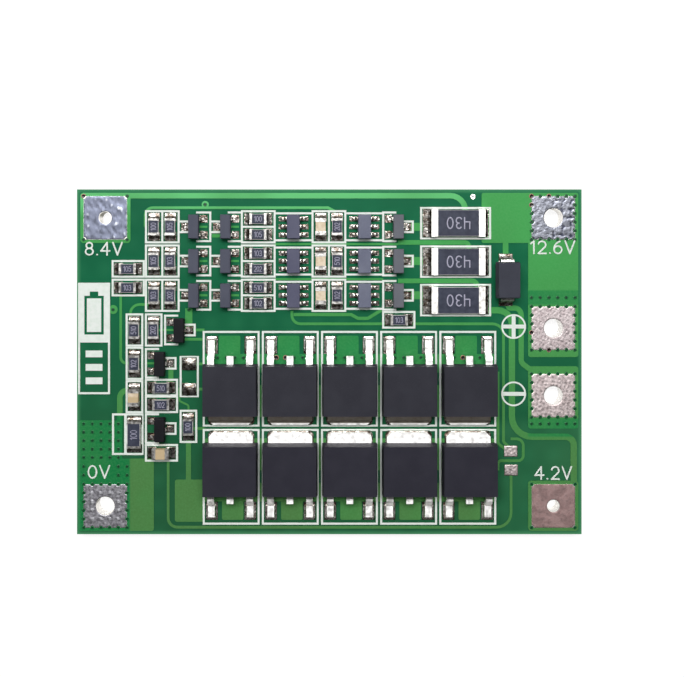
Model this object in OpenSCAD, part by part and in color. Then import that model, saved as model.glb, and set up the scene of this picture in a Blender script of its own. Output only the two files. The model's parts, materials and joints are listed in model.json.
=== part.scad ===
// Battery management board for three cells in series. A glass-epoxy board with copper on both faces
// carries ten power transistors in two rows, three bleed resistors, three sensing channels and six
// square wire terminals. Millimetres, +Z up, origin at the centre of the face it stands on.
// Each group of parts keeps its distance from the board's nearest edges, so it follows that edge.

/* [Board] */
// Length of the board along X
board_l = 60; // [54:0.5:66]
// Width of the board along Y
board_w = 41; // [36:0.5:50]
// Thickness of the glass-epoxy laminate
board_t = 1.6; // [0.8:0.1:2.4]
// Thickness of the copper on each face
copper_t = 0.07; // [0.035:0.005:0.14]
// Thickness of the tin on bare copper
tin_t = 0.05; // [0.02:0.01:0.1]
// Wall of the plating and tin in a hole
plating_t = 0.17; // [0.16:0.01:0.25]

/* [Terminals] */
// Side of a square wire terminal
pad_side = 5.16; // [4:0.02:5.6]
// Distance from a terminal to the board's edge
pad_edge = 0.81; // [0.6:0.01:1.2]
// Diameter of the hole in the power terminals
power_hole_d = 2.2; // [1.2:0.05:3.2]
// Diameter of the hole in the two tap terminals
tap_hole_d = 1.46; // [0.8:0.02:2.4]
// Distance of each output terminal from the board's middle line
output_y = 4; // [3.6:0.05:6]
// Diameter of the covered holes that bite into a terminal's sides
bite_d = 0.46; // [0.2:0.02:0.7]
// Spaces between bites along a side of a power terminal
power_bites = 5; // [3:1:7]
// Rim of covered copper around a terminal
pad_rim = 0.4; // [0.2:0.02:0.5]

/* [Legend] */
// Thickness of the printed legend
ink_t = 0.03; // [0.01:0.01:0.06]
// Width of the legend's lines
ink_w = 0.24; // [0.12:0.02:0.3]
// Bare strip between the legend and a land
ink_gap = 0.06; // [0.02:0.01:0.12]
// Outer radius of the two polarity marks
mark_r = 1.47; // [1:0.01:1.6]
// Width of the bars in the polarity marks
mark_bar = 0.46; // [0.2:0.02:0.8]
// Width of the rating panel at the left edge
panel_w = 3.8; // [3:0.05:4]
// Length of the printed half of the rating panel
panel_print_l = 7.1; // [5:0.1:8]
// Length of the outlined half of the rating panel
panel_box_l = 5.9; // [4:0.1:7]

/* [Power transistors] */
// Width of the moulded body
fet_w = 6.5; // [6:0.05:6.7]
// Length of the moulded body
fet_l = 6.1; // [5.6:0.05:6.4]
// Height of the moulded body above its lands
fet_h = 2.3; // [2:0.05:2.6]
// Thickness of the lead frame
fet_lead_t = 0.5; // [0.4:0.02:0.6]
// Width of a lead
fet_lead_w = 0.78; // [0.6:0.02:0.9]
// Distance from one lead to the next
fet_pitch = 2.29; // [2.1:0.01:2.4]
// Reach of the two long leads past the body
fet_lead_reach = 2.75; // [2.4:0.05:2.9]
// Length of a lead's foot on its land
fet_foot = 1.3; // [1:0.05:1.5]
// Reach of the cut middle lead past the body
fet_stub = 0.95; // [0.5:0.05:1.2]
// Width of the drain tab
fet_tab_w = 5.2; // [4.6:0.05:5.5]
// Reach of the drain tab past the body
fet_tab_reach = 1.15; // [0.9:0.05:1.3]
// Cut at each corner of the drain tab
fet_tab_cut = 0.5; // [0.2:0.05:0.8]

/* [Bleed resistors] */
// Length of a bleed resistor
bleed_l = 6.35; // [6:0.05:6.6]
// Width of a bleed resistor
bleed_w = 3.2; // [2.8:0.05:3.4]
// Height of a bleed resistor
bleed_h = 0.6; // [0.4:0.05:0.9]
// Length of its end caps
bleed_cap = 0.75; // [0.5:0.05:1]
// Distance from one bleed resistor to the next
bleed_pitch = 4.57; // [4.3:0.01:4.8]

/* [Chip parts] */
// Length of a chip resistor or capacitor
chip_l = 2; // [1.8:0.05:2.1]
// Width of a chip resistor or capacitor
chip_w = 1.25; // [1.1:0.05:1.3]
// Height of a chip resistor
chip_h = 0.5; // [0.4:0.05:0.7]
// Height of a chip capacitor
cap_h = 0.9; // [0.6:0.05:1.3]
// Length of a chip resistor's end caps
chip_cap = 0.28; // [0.2:0.02:0.5]
// Length of a chip capacitor's end caps
cap_cap = 0.45; // [0.3:0.05:0.6]
// Thickness of an end cap's metal
cap_t = 0.04; // [0.02:0.01:0.06]
// Thickness of the glaze on a resistor
glaze_t = 0.03; // [0.01:0.01:0.04]
// Length of the long chip resistor at the left
long_l = 3.2; // [3:0.05:3.4]
// Width of the long chip resistor
long_w = 1.6; // [1.4:0.05:1.7]
// Length of solder past the end of a chip
chip_toe = 0.65; // [0.4:0.05:0.7]

/* [Small transistors] */
// Length of a three-legged transistor's body
sot3_l = 2.9; // [2.7:0.05:3.05]
// Width of its body
sot3_w = 1.3; // [1.2:0.05:1.4]
// Width over its feet
sot3_span = 2.4; // [2.2:0.05:2.6]
// Length of a six-legged chip's body
sot6_l = 2.9; // [2.7:0.05:3.05]
// Width of its body
sot6_w = 1.6; // [1.5:0.05:1.7]
// Width over its feet
sot6_span = 2.8; // [2.6:0.05:3]
// Height of both kinds of body above their lands
sot_h = 1.1; // [0.9:0.05:1.3]
// Distance from one leg to the next
sot_pitch = 0.95; // [0.9:0.01:1]
// Width of a leg
sot_leg_w = 0.4; // [0.3:0.02:0.5]
// Thickness of a leg
sot_leg_t = 0.14; // [0.1:0.01:0.2]
// Length of a leg's foot
sot_foot = 0.35; // [0.25:0.05:0.4]
// Length of solder past a foot
sot_toe = 0.36; // [0.3:0.02:0.5]

/* [Diode] */
// Length of the diode's body
diode_l = 4.3; // [4:0.05:4.5]
// Width of its body
diode_w = 2.7; // [2.4:0.05:2.9]
// Height of its body above its lands
diode_h = 2.2; // [2:0.05:2.4]
// Length over its strap leads
diode_span = 5; // [4.8:0.05:5.2]
// Width of its strap leads
diode_lead_w = 1.5; // [1.3:0.05:1.7]
// Thickness of its strap leads
diode_lead_t = 0.2; // [0.15:0.01:0.25]

/* [Outlines] */
// Space from a part's lands to its outline
outline_end = 0.2; // [0.16:0.02:0.3]
// Space beside a part to its outline
outline_side = 0.3; // [0.2:0.02:0.4]
// Space between the outlines of neighbouring parts
outline_gap = 0.26; // [0.16:0.02:0.5]
// Space beside a chip in a channel
chip_room = 0.7; // [0.4:0.02:0.9]
// Space beside the lands of a three-legged transistor in a channel
three_leg_room = 0.64; // [0.3:0.02:0.8]
// Space beside a pair of chips in a channel
pair_room = 0.6; // [0.3:0.02:0.8]
// Space beside the lands of a six-legged chip in a channel
six_leg_room = 1; // [0.5:0.05:1.2]
// Space between the channels and the bleed resistors
bleed_room = 1; // [0.5:0.05:1.5]

/* [Layout] */
// From the left edge to the sensing channels
channel_left = 8.22; // [8.2:0.02:9]
// From the top edge to the first channel
channel_top = 2.6; // [2.4:0.05:2.8]
// Space between one channel and the next
channel_gap = 0.37; // [0.2:0.01:0.6]
// From the top edge to the middle of the first bleed resistor
bleed_top = 4.02; // [3.8:0.02:4.2]
// From the bleed resistors' outlines to the right edge
lane_w = 10.9; // [10.6:0.05:12]
// Shift of each bleed resistor on its lands
bleed_shift = 0.25; // [0:0.05:0.4]
// From the right edge to the middle of the diode
diode_right = 9.05; // [8.6:0.05:9.2]
// From the top edge to the middle of the diode
diode_top = 10.75; // [10.5:0.05:11.5]
// From the left edge to the first column of logic parts
logic_left = 5.93; // [5.8:0.05:6]
// Space between the columns of logic parts
logic_gap = 0.43; // [0.3:0.01:0.6]
// From the left edge to the power transistors' outlines
power_left = 14.96; // [14.9:0.02:16]
// From the right edge to the power transistors' outlines
power_right = 10.17; // [9.9:0.01:12]
// From the bottom edge to the line between the two transistor rows
power_bottom = 12.67; // [12.4:0.01:13]
// Least space between neighbouring outlines of power transistors
power_gap = 0.2; // [0.1:0.02:0.4]
// Least space between the gate chip's outline and the upper power transistors
power_clear = 0.2; // [0.1:0.05:1]

/* [Hidden] */
// Cells, each with a sensing channel and a bleed resistor
channels = 3;
overcut = 0.5;

// Heights of the layers
z_laminate = copper_t + tin_t;
z_top = z_laminate + board_t;
z_ink = z_top + copper_t;
z_seat = z_ink + tin_t;

// Distances from the four edges
function left(d) = -board_l / 2 + d;
function right(d) = board_l / 2 - d;
function top(d) = board_w / 2 - d;
function bottom(d) = -board_w / 2 + d;

// Terminals: place, hole and spaces between bites
pad_in = pad_edge + pad_side / 2;
tap_bites = 1;
pad_0v = [[left(pad_in), bottom(pad_in)], power_hole_d, power_bites];
pad_4v2 = [[right(pad_in), bottom(pad_in)], tap_hole_d, tap_bites];
pad_8v4 = [[left(pad_in), top(pad_in)], tap_hole_d, tap_bites];
pad_12v6 = [[right(pad_in), top(pad_in)], power_hole_d, power_bites];
pad_plus = [[right(pad_in), output_y], power_hole_d, power_bites];
pad_minus = [[right(pad_in), -output_y], power_hole_d, power_bites];
pads = [pad_0v, pad_4v2, pad_8v4, pad_12v6, pad_plus, pad_minus];

// Lands: length, width and the distance from the part's middle to the land's middle
chip_bite = 0.4;
land_side = 0.06;
chip_land = chip_toe + chip_bite;
chip_land_x = chip_l / 2 + chip_toe - chip_land / 2;
long_toe = 0.55;
long_land = long_toe + chip_bite;
long_land_x = long_l / 2 + long_toe - long_land / 2;
bleed_toe = 0.72;
bleed_bite = 0.55;
bleed_land = bleed_toe + bleed_bite;
bleed_land_x = bleed_l / 2 + bleed_toe - bleed_land / 2;
sot_heel = 0.15;
sot_land = sot_toe + sot_foot + sot_heel;
sot3_land_w = 0.9;
sot6_land_w = 0.58;
sot3_land_x = sot3_span / 2 + sot_toe - sot_land / 2;
sot6_land_x = sot6_span / 2 + sot_toe - sot_land / 2;
diode_toe = 0.6;
diode_heel = 1.05;
diode_land = diode_toe + diode_heel;
diode_land_x = diode_span / 2 + diode_toe - diode_land / 2;
fet_toe = 0.45;
fet_heel = 0.35;
fet_land = fet_toe + fet_foot + fet_heel;
fet_land_w = 1.4;
fet_tip = fet_l / 2 + fet_lead_reach;
fet_land_y = fet_tip + fet_toe - fet_land / 2;
fet_tab_end = fet_l / 2 + fet_tab_reach;
fet_tab_land_end = fet_tab_end + 0.1;
fet_tab_land = fet_tab_land_end + 1.6;
fet_tab_land_w = fet_tab_w + 0.3;

// Outlines of the parts, from line to line
chip_span = chip_l + 2 * chip_toe;
sot3_lands = sot3_span + 2 * sot_toe;
sot6_lands = sot6_span + 2 * sot_toe;
chip_cell_w = chip_w + 2 * outline_side;
chip_cell_l = chip_span + 2 * outline_end;
long_cell_l = long_l + 2 * long_toe + 2 * outline_end;
sot3_cell = sot3_lands + 2 * outline_end;
sot3_box = sot3_l + 2 * outline_end + 0.1;
sot3_stem = sot3_land_w / 2 + ink_gap + ink_w;
bleed_box = [bleed_l + 2 * bleed_toe + 2 * outline_end, bleed_w + 2 * outline_end];

// Cells of a channel from left to right: two chips, two transistors, a pair of chips, the balance
// chip, a capacitor, a chip, the protection chip, the bleed transistor and a gap. Their rooms stretch
// together until they fill the board from the first cell to the bleed resistors
cell_parts = [chip_w, chip_w, sot3_lands, sot3_lands, chip_span, sot6_lands, chip_w, chip_w, sot6_lands,
              sot3_lands, 0];
cell_rooms = [chip_room, chip_room, three_leg_room, three_leg_room, pair_room, six_leg_room, chip_room,
              chip_room, six_leg_room, 2 * outline_end, bleed_room];
function sum(v, i = 0) = i == len(v) ? 0 : v[i] + sum(v, i + 1);
bleed_x = right(lane_w + bleed_box[0] / 2);
stretch = (board_l - channel_left - lane_w - bleed_box[0] - sum(cell_parts)) / sum(cell_rooms);
cells = cell_parts + cell_rooms * stretch;
function cell_edge(i) = i == 0 ? left(channel_left) : cell_edge(i - 1) + cells[i - 1];
function cell_x(i) = cell_edge(i) + cells[i] / 2;
// From the top edge down the board holds the channels, the gate chip and two rows of power transistors.
// Where they need more than its width, the spaces at both edges and between the channels shrink together
line_gap = 0.14;
fet_row_y = fet_tab_land_end + 0.22 + line_gap;
fet_row_end = fet_row_y + fet_tip + fet_toe;
edge_room = power_bottom - fet_row_end;
width_parts = channels * chip_cell_l + outline_gap / 2 + chip_cell_w + power_clear + 2 * fet_row_end;
width_rooms = channel_top + (channels - 1) * channel_gap + edge_room;
squeeze = min(1, (board_w - width_parts) / width_rooms);
channel_pitch = chip_cell_l + channel_gap * squeeze;
function channel_y(i) = top(channel_top * squeeze + chip_cell_l / 2 + i * channel_pitch);
bleed_step = bleed_w + (bleed_pitch - bleed_w) * squeeze;
function bleed_y(i) = top(bleed_w / 2 + (bleed_top - bleed_w / 2) * squeeze + i * bleed_step);
channel_end = channel_y(channels - 1) - chip_cell_l / 2;
diode_at = [right(diode_right), top(diode_top)];

// Places of the parts: x, y and the turn about Z. A part's length lies along X at no turn
upright = 90;
around = 180;
half_w = chip_cell_w / 2;
half_l = chip_cell_l / 2;
channel_chips = [for (i = [0 : channels - 1]) each [
    [cell_x(0), channel_y(i), upright], [cell_x(1), channel_y(i), upright],
    [cell_x(4), channel_y(i) + half_l / 2, 0], [cell_x(4), channel_y(i) - half_l / 2, 0],
    [cell_x(7), channel_y(i), upright]]];
gate_chip = [cell_edge(9) + half_l, channel_end - outline_gap / 2 - half_w, 0];
left_chip_x = left(channel_left) - outline_gap - half_l;
left_chips = [[left_chip_x, channel_y(1) - half_l + half_w, 0],
              [left_chip_x, channel_y(2) + half_l - half_w, 0]];
// Logic parts stand in three columns, each stacked down from the line below the channels
stack_step = chip_cell_l + outline_gap;
stack_top = channel_end - 0.16 - outline_gap;
column_a = left(logic_left) + half_w;
column_b = left(logic_left) + chip_cell_w + logic_gap;
column_c = column_b + chip_cell_l + logic_gap;
row_1 = stack_top - half_l;
row_2 = row_1 - stack_step;
pair_y = row_2 - sot3_box / 2 - outline_gap - half_w;
pair_step = chip_cell_w + outline_gap / 2;
row_3 = pair_y - pair_step - half_w - outline_gap - sot3_box / 2;
cap_y = row_3 - sot3_box / 2 - outline_gap - half_w;
logic_chips = [[column_a, row_1, upright], [column_b + half_w, row_1, upright], [column_a, row_2, upright],
               [column_b + half_l, pair_y, 0], [column_b + half_l, pair_y - pair_step, 0],
               [column_c + half_w, row_3 + outline_gap, upright]];
chips = concat(channel_chips, [gate_chip], left_chips, logic_chips);
capacitors = concat([for (i = [0 : channels - 1]) [cell_x(6), channel_y(i), upright]],
                    [[column_a, row_2 - stack_step, upright], [column_b + half_l, cap_y, 0]]);
long_chip = [column_a, row_2 - stack_step - half_l - outline_gap - long_cell_l / 2, upright];
// A three-legged transistor has its single leg on the +X side at no turn
sense_places = [for (i = [0 : channels - 1]) [cell_x(2), channel_y(i), around]];
switch_places = [for (i = [0 : channels - 1]) [cell_x(3), channel_y(i), around]];
bleed_places = [for (i = [0 : channels - 1]) [cell_x(9), channel_y(i), 0]];
logic_places = [[column_b + chip_cell_w + logic_gap + sot3_cell / 2, row_1, 0],
                [column_b + sot3_cell / 2, row_2, 0], [column_b + sot3_cell / 2, row_3, 0]];
three_leg_places = concat(sense_places, switch_places, bleed_places, logic_places);
balance_places = [for (i = [0 : channels - 1]) [cell_x(5), channel_y(i), 0]];
protection_places = [for (i = [0 : channels - 1]) [cell_x(8), channel_y(i), 0]];
six_leg_places = concat(balance_places, protection_places);
// An empty footprint with solder on it, two link lands and a test dot
spare_land = [1.7, 1.45];
spare_pitch = 3;
spare_box = [spare_land[0] + 0.34, spare_pitch + spare_land[1] + 0.2];
spare_at = [column_c + spare_box[0] / 2, row_2 + sot3_stem - spare_box[1] / 2];
link_land = [1.58, 1.27];
link_places = [[right(8.45), bottom(9.9)], [right(8.4), bottom(7.65)]];
dot_at = [right(12.95), top(0.87)];
dot_d = 0.6;

// Power transistors stand tab to tab in two rows. As many fill a row as fit between the logic parts
// and the right lane
power_box = [fet_w + 0.26, fet_tab_land_end + 0.22 + fet_tip + fet_toe + 0.6];
power_zone = board_l - power_left - power_right;
fet_count = floor((power_zone + power_gap) / (power_box[0] + power_gap));
fet_step = fet_count > 1 ? (power_zone - power_box[0]) / (fet_count - 1) : 0;
power_mid_y = bottom(fet_row_end + edge_room * squeeze);
rows = ["upper", "lower"];
fet_ys = [power_mid_y + fet_row_y, power_mid_y - fet_row_y];
function fet_x(i) = left(power_left) + power_box[0] / 2 + i * fet_step;
power_left_x = left(power_left);
power_right_x = right(power_right);
fet_lead_z = 1.05;

$fn = 48;

module place(p) { translate([p[0], p[1], 0]) rotate(p[2]) children(); }

function unit(v) = v / norm(v);
function turned(v, a) = [v[0] * cos(a) - v[1] * sin(a), v[0] * sin(a) + v[1] * cos(a)];
// Points of the arc of radius r that rounds the corner b on the way from a to c
function arc(a, b, c, r, steps) =
    let (u = unit(a - b), v = unit(c - b), half = acos(u * v) / 2,
         middle = b + unit(u + v) * r / sin(half), start = b + u * r / tan(half) - middle,
         sweep = sign(cross(u, v)) * (2 * half - 180))
    [for (i = [0 : steps]) middle + turned(start, sweep * i / steps)];
// The line through the points p with each inner corner rounded to its radius in r
function route(p, r, steps = 6) = concat([p[0]],
    [for (i = [1 : 1 : len(p) - 2]) each arc(p[i - 1], p[i], p[i + 1], is_list(r) ? r[i - 1] : r, steps)],
    [p[len(p) - 1]]);
function heading(p, i) = unit(p[min(i + 1, len(p) - 1)] - p[max(i - 1, 0)]);
// A strip of width w along the line p
module strip(p, w) {
    last = len(p) - 1;
    polygon(concat([for (i = [0 : last]) p[i] + turned(heading(p, i), 90) * w / 2],
                   [for (i = [last : -1 : 0]) p[i] - turned(heading(p, i), 90) * w / 2]));
}
module bar(a, b) { translate([min(a[0], b[0]), min(a[1], b[1])]) square([abs(b[0] - a[0]), abs(b[1] - a[1])]); }
// A rectangle between two corners, with round corners of radius r
module soft_bar(a, b, r) {
    bar([a[0] + sign(b[0] - a[0]) * r, a[1]], [b[0] - sign(b[0] - a[0]) * r, b[1]]);
    bar([a[0], a[1] + sign(b[1] - a[1]) * r], [b[0], b[1] - sign(b[1] - a[1]) * r]);
    for (x = [a[0] + sign(b[0] - a[0]) * r, b[0] - sign(b[0] - a[0]) * r])
        for (y = [a[1] + sign(b[1] - a[1]) * r, b[1] - sign(b[1] - a[1]) * r])
            translate([x, y]) circle(r);
}
module frame(size, line) {
    difference() {
        square(size, center = true);
        square([size[0] - 2 * line, size[1] - 2 * line], center = true);
    }
}
module box(size, z) { translate([-size[0] / 2, -size[1] / 2, z]) cube(size); }
// A strip of lead seen from its side and given its width along Y, centred
module lead(p, r, t, w, steps) {
    translate([0, w / 2, 0]) rotate([90, 0, 0]) linear_extrude(w) strip(route(p, r, steps), t);
}
// A moulded body, widest at its parting line, with the same draft above and below it
module moulded(l, w, h, parting, draft) {
    low = parting * tan(draft);
    high = (h - parting) * tan(draft);
    intersection() {
        translate([0, w / 2, 0]) rotate([90, 0, 0]) linear_extrude(w)
            polygon([[low - l / 2, 0], [l / 2 - low, 0], [l / 2, parting],
                     [l / 2 - high, h], [high - l / 2, h], [-l / 2, parting]]);
        translate([-l / 2, 0, 0]) rotate([90, 0, 90]) linear_extrude(l)
            polygon([[low - w / 2, 0], [w / 2 - low, 0], [w / 2, parting],
                     [w / 2 - high, h], [high - w / 2, h], [-w / 2, parting]]);
    }
}

// Lands are flat shapes, and "more" widens a land on each side
module land(x, l, w, more) { translate([x, 0]) square([l + 2 * more, w + 2 * more], center = true); }
module two_lands(x, l, w, more) { for (s = [-1, 1]) land(s * x, l, w, more); }
module fet_lands(more) {
    for (s = [-1, 1]) translate([s * fet_pitch, fet_land_y])
        square([fet_land_w + 2 * more, fet_land + 2 * more], center = true);
    soft_bar([-fet_tab_land_w / 2 - more, -fet_tab_land_end - more],
             [fet_tab_land_w / 2 + more, fet_tab_land - fet_tab_land_end + more], 0.5);
}
module three_leg_lands(more) {
    land(sot3_land_x, sot_land, sot3_land_w, more);
    for (s = [-1, 1]) translate([-sot3_land_x, s * sot_pitch])
        square([sot_land + 2 * more, sot3_land_w + 2 * more], center = true);
}
module six_leg_lands(more) {
    for (s = [-1, 1]) for (i = [-1 : 1]) translate([s * sot6_land_x, i * sot_pitch])
        square([sot_land + 2 * more, sot6_land_w + 2 * more], center = true);
}
// The first row in the list faces up, and the last, the lower one, is turned round
module row_place(r, i) { translate([fet_x(i), fet_ys[r]]) rotate(r == len(rows) - 1 ? around : 0) children(); }
module lands(more = 0) {
    for (p = concat(chips, capacitors)) place(p)
        two_lands(chip_land_x, chip_land, chip_w + 2 * land_side, more);
    place(long_chip) two_lands(long_land_x, long_land, long_w + 2 * land_side, more);
    for (i = [0 : channels - 1]) translate([bleed_x, bleed_y(i)])
        two_lands(bleed_land_x, bleed_land, bleed_w + 2 * land_side, more);
    for (p = three_leg_places) place(p) three_leg_lands(more);
    for (p = six_leg_places) place(p) six_leg_lands(more);
    for (r = [0 : len(rows) - 1]) for (i = [0 : fet_count - 1]) row_place(r, i) fet_lands(more);
    place([diode_at[0], diode_at[1], upright])
        two_lands(diode_land_x, diode_land, diode_lead_w + 2 * land_side, more);
    for (s = [-1, 1]) translate([spare_at[0], spare_at[1] + s * spare_pitch / 2])
        square([spare_land[0] + 2 * more, spare_land[1] + 2 * more], center = true);
    for (p = link_places) translate(p)
        square([link_land[0] + 2 * more, link_land[1] + 2 * more], center = true);
    translate(dot_at) circle(d = dot_d + 2 * more);
}
// A terminal's outline: a square with round bites on its corners and along its sides
module pad_outline(bites) {
    difference() {
        square(pad_side, center = true);
        for (i = [0 : bites]) for (s = [-1, 1]) {
            translate([pad_side * (i / bites - 0.5), s * pad_side / 2]) circle(d = bite_d);
            translate([s * pad_side / 2, pad_side * (i / bites - 0.5)]) circle(d = bite_d);
        }
    }
}

// Traces on the upper face, each a line, the radii of its corners and its width
thin_w = 0.25;
trace_w = 0.32;
wide_w = 0.55;
bus_w = 0.66;
edge_in = pad_edge - pad_rim;
pour_in = pad_edge + pad_side + pad_rim;
bus_y = top(0.75);
lane_1 = right(9.95);
lane_2 = right(9.3);
lane_3 = right(8.3);
lane_4 = right(7.2);
bleed_end = bleed_x + bleed_l / 2;
between_y = [for (i = [0 : channels - 2]) (bleed_y(i) + bleed_y(i + 1)) / 2];
under_y = channel_end - 0.44;
gate_y = channel_end - 1.54;
left_lane_x = left_chip_x - 0.9;
link_1 = link_places[0];
link_2 = link_places[1];
exit_x = power_left_x + 0.2;
channel_traces = [for (i = [0 : channels - 1]) each [
    [[[cell_edge(3) - 1.4, channel_y(i)], [cell_edge(3) - 0.35, channel_y(i)]], 0, thin_w],
    [[[cell_edge(4) - 1.4, channel_y(i)], [cell_edge(4) - 0.35, channel_y(i)]], 0, thin_w],
    [[[cell_x(9) + sot3_land_x, channel_y(i)], [bleed_x - bleed_land_x, channel_y(i)]], 0, 0.95]]];
bleed_traces = [
    [[[left(pad_in), bus_y], [bleed_end - 2, bus_y], [bleed_end - 2, bleed_y(0) - 1]], 1.8, bus_w],
    [[[cell_x(9), between_y[0]], [bleed_end - 1.6, between_y[0]], [bleed_end - 1.6, bleed_y(1) + 1]],
     0.5, wide_w],
    [[[cell_edge(5), between_y[0] - 0.2], [cell_x(9), between_y[0] - 0.2]], 0, thin_w],
    [[[cell_x(9), between_y[1]], [bleed_end - 0.6, between_y[1]], [bleed_end - 0.6, bleed_y(2) + 1]],
     0.6, wide_w],
    [[[cell_edge(5), between_y[1] + 0.2], [cell_edge(9), between_y[1] + 0.2]], 0, thin_w],
    [[[bleed_end, bleed_y(2) - 1.2], [lane_3, bleed_y(2) - 1.2], [lane_3, bottom(11.6)],
      [right(0.95), bottom(11.6)], [right(0.95), bottom(pad_in)]], [1.7, 2.4, 1], 0.75]];
sense_y = channel_y(0) + chip_cell_l / 2 + 0.42 * squeeze;
sense_traces = [
    [[[left(channel_left - 0.1), channel_y(0)], [left(channel_left - 0.1), sense_y],
      [cell_edge(7) - 0.1, sense_y], [cell_edge(7) + 0.8, sense_y - 0.47]], [0.9, 0.4], trace_w],
    [[[cell_x(5), under_y], [cell_edge(8) + 0.7, under_y], [cell_edge(8) + 1.5, under_y - 0.45],
      [cell_edge(8) + 2.7, under_y - 0.45], [cell_edge(9) - 0.2, channel_end + 0.1]], 0.4, 0.38],
    [[[cell_x(5) - 0.2, channel_end], [cell_x(5) - 0.2, gate_y], [lane_2, gate_y], [lane_2, bottom(11)],
      [link_1[0], bottom(10.2)]], [1, 1.3, 0.4], trace_w],
    [[[cell_edge(3) + 0.2, channel_y(0) - 1.07], [cell_x(3) - 0.6, channel_y(0) - 1.07]], 0, 0.4]];
low_lane_y = bottom(edge_room * squeeze * 0.48);
output_traces = [
    [[[diode_at[0], diode_at[1] - diode_land_x], [diode_at[0] + 0.4, diode_at[1] - 3.35],
      [lane_4, diode_at[1] - 3.35], [lane_4, -0.1], [right(5.6), -1.3]], [0.2, 0.8, 0.8], 0.62],
    [[[lane_1, power_mid_y + fet_row_y + 2], [lane_1, bottom(10.8)], [link_1[0], bottom(9.6)]], 0.6, trace_w],
    [[[link_1[0], bottom(11.35)], [right(6.95), bottom(11.35)], [right(6.95), bottom(8.75)],
      [lane_1, bottom(8.75)], [lane_1, bottom(7.6)]], [0.8, 0.6, 0.4], trace_w],
    [[link_2, [link_2[0], low_lane_y], [left(10.85), low_lane_y], [left(10.85), cap_y]], [1.7, 1.1], trace_w]];
logic_traces = [
    [[[column_c + half_w, row_3], [column_c + half_w, bottom(5)]], 0, 0.6],
    [[[left_lane_x, left_chips[1][1]], [left_lane_x, row_2], [column_a, row_2]], 0.7, 0.3],
    [[[cell_edge(0) + 0.5, channel_end + 0.76], [column_a - 0.5, channel_end + 0.76], [column_a - 0.5, row_1]],
     1.1, 0.3],
    [[[logic_places[0][0] + 1.05, channel_end + 0.3], [logic_places[0][0] + 1.05, row_1]], 0, 0.85],
    [[[logic_places[0][0] + sot3_land_x, row_1], [exit_x, row_1]], 0, trace_w],
    [[[logic_places[0][0], row_1 - 1.1], [exit_x, row_1 - 1.1]], 0, trace_w],
    [[[column_b + half_w, row_1], [logic_places[0][0], row_1]], 0, thin_w],
    [[[column_b, row_2], [logic_places[1][0], row_2]], 0, thin_w],
    [[[logic_places[1][0] + 1.2, row_2], [logic_places[1][0] + 1.2, pair_y]], 0, 0.6],
    [[[spare_at[0], spare_at[1] + spare_pitch / 2], [exit_x, spare_at[1] + spare_pitch / 2]], 0, trace_w],
    [[[spare_at[0], spare_at[1] - spare_pitch / 2], [exit_x, spare_at[1] - spare_pitch / 2]], 0, trace_w],
    [[[column_c - 0.15, pair_y], [column_c - 0.15, pair_y - 1.6], [column_c + half_w, pair_y - 2.1],
      [column_c + half_w, row_3 + 1.6]], [0.3, 0.3], 0.22],
    [[[column_c + half_w, row_3], [exit_x, row_3]], 0, trace_w],
    [[[column_a, row_2 - stack_step + 0.75], [column_a - 1.75, row_2 - stack_step + 0.75],
      [column_a - 1.75, row_3]], 0.9, 0.65]];
traces = concat(channel_traces, bleed_traces, sense_traces, output_traces, logic_traces);
// Pours of one transistor row, in the frame of the upper row: the sources and the drains
module row_pours() {
    soft_bar([power_left_x, 1.9], [power_right_x, 4.1], 0.3);
    soft_bar([power_left_x + 0.2, -3.4], [power_right_x - 0.2, 0.4], 0.3);
}
module source_tongue() { soft_bar([-1.46, 3.9], [1.09, 6.28], 0.2); }
module pours() {
    soft_bar([left(edge_in), top(edge_in)], [left(pour_in), top(pour_in)], pad_rim);
    soft_bar([right(11.9), top(edge_in)], [right(edge_in), top(pour_in)], 0.25);
    soft_bar([right(pour_in), top(edge_in)], [right(edge_in), output_y - pad_side / 2 - 0.85], 0.3);
    soft_bar([right(pour_in), minus_top], [right(edge_in), minus_low], 0.3);
    soft_bar([right(pour_in), bottom(edge_in)], [right(edge_in), bottom(pour_in)], pad_rim);
    bar([diode_at[0] - 0.33, top(pour_in - 0.5)], [diode_at[0] + 0.33, diode_at[1] + diode_land_x]);
    soft_bar([left(0.2), bottom(edge_in)], [left(9.15), bottom(9)], 0.3);
    soft_bar([left(0.2), bottom(edge_in)], [left(5.4), bottom(13.55)], 0.3);
    soft_bar([left(11.65), bottom(1.5)], [exit_x, bottom(6.5)], 0.25);
    translate([cell_edge(3) - 0.6, top(1.8)]) circle(0.42);
    translate([left_chip_x - 1.8, channel_end + 0.16]) circle(0.53);
    for (r = [0 : len(rows) - 1])
        translate([0, fet_ys[r]]) mirror([0, r == len(rows) - 1 ? 1 : 0]) row_pours();
    for (r = [0 : len(rows) - 1]) for (i = [0 : fet_count - 1]) row_place(r, i) source_tongue();
}
minus_top = -output_y + pad_side / 2 + 0.89;
minus_low = -output_y - pad_side / 2 - 1.35;
module top_copper_flat() {
    difference() {
        union() {
            lands();
            pours();
            for (t = traces) strip(route(t[0], t[1]), t[2]);
        }
        for (p = pads) translate(p[0]) pad_outline(p[2]);
    }
}

module laminate() {
    color([0.08, 0.36, 0.22]) difference() {
        translate([0, 0, z_laminate]) linear_extrude(board_t) square([board_l, board_w], center = true);
        for (p = pads) translate([p[0][0], p[0][1], z_laminate - overcut])
            cylinder(d = p[1] + 2 * plating_t, h = board_t + 2 * overcut);
    }
}
module top_copper() {
    color([0.27, 0.62, 0.33]) translate([0, 0, z_top]) linear_extrude(copper_t) top_copper_flat();
}
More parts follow.
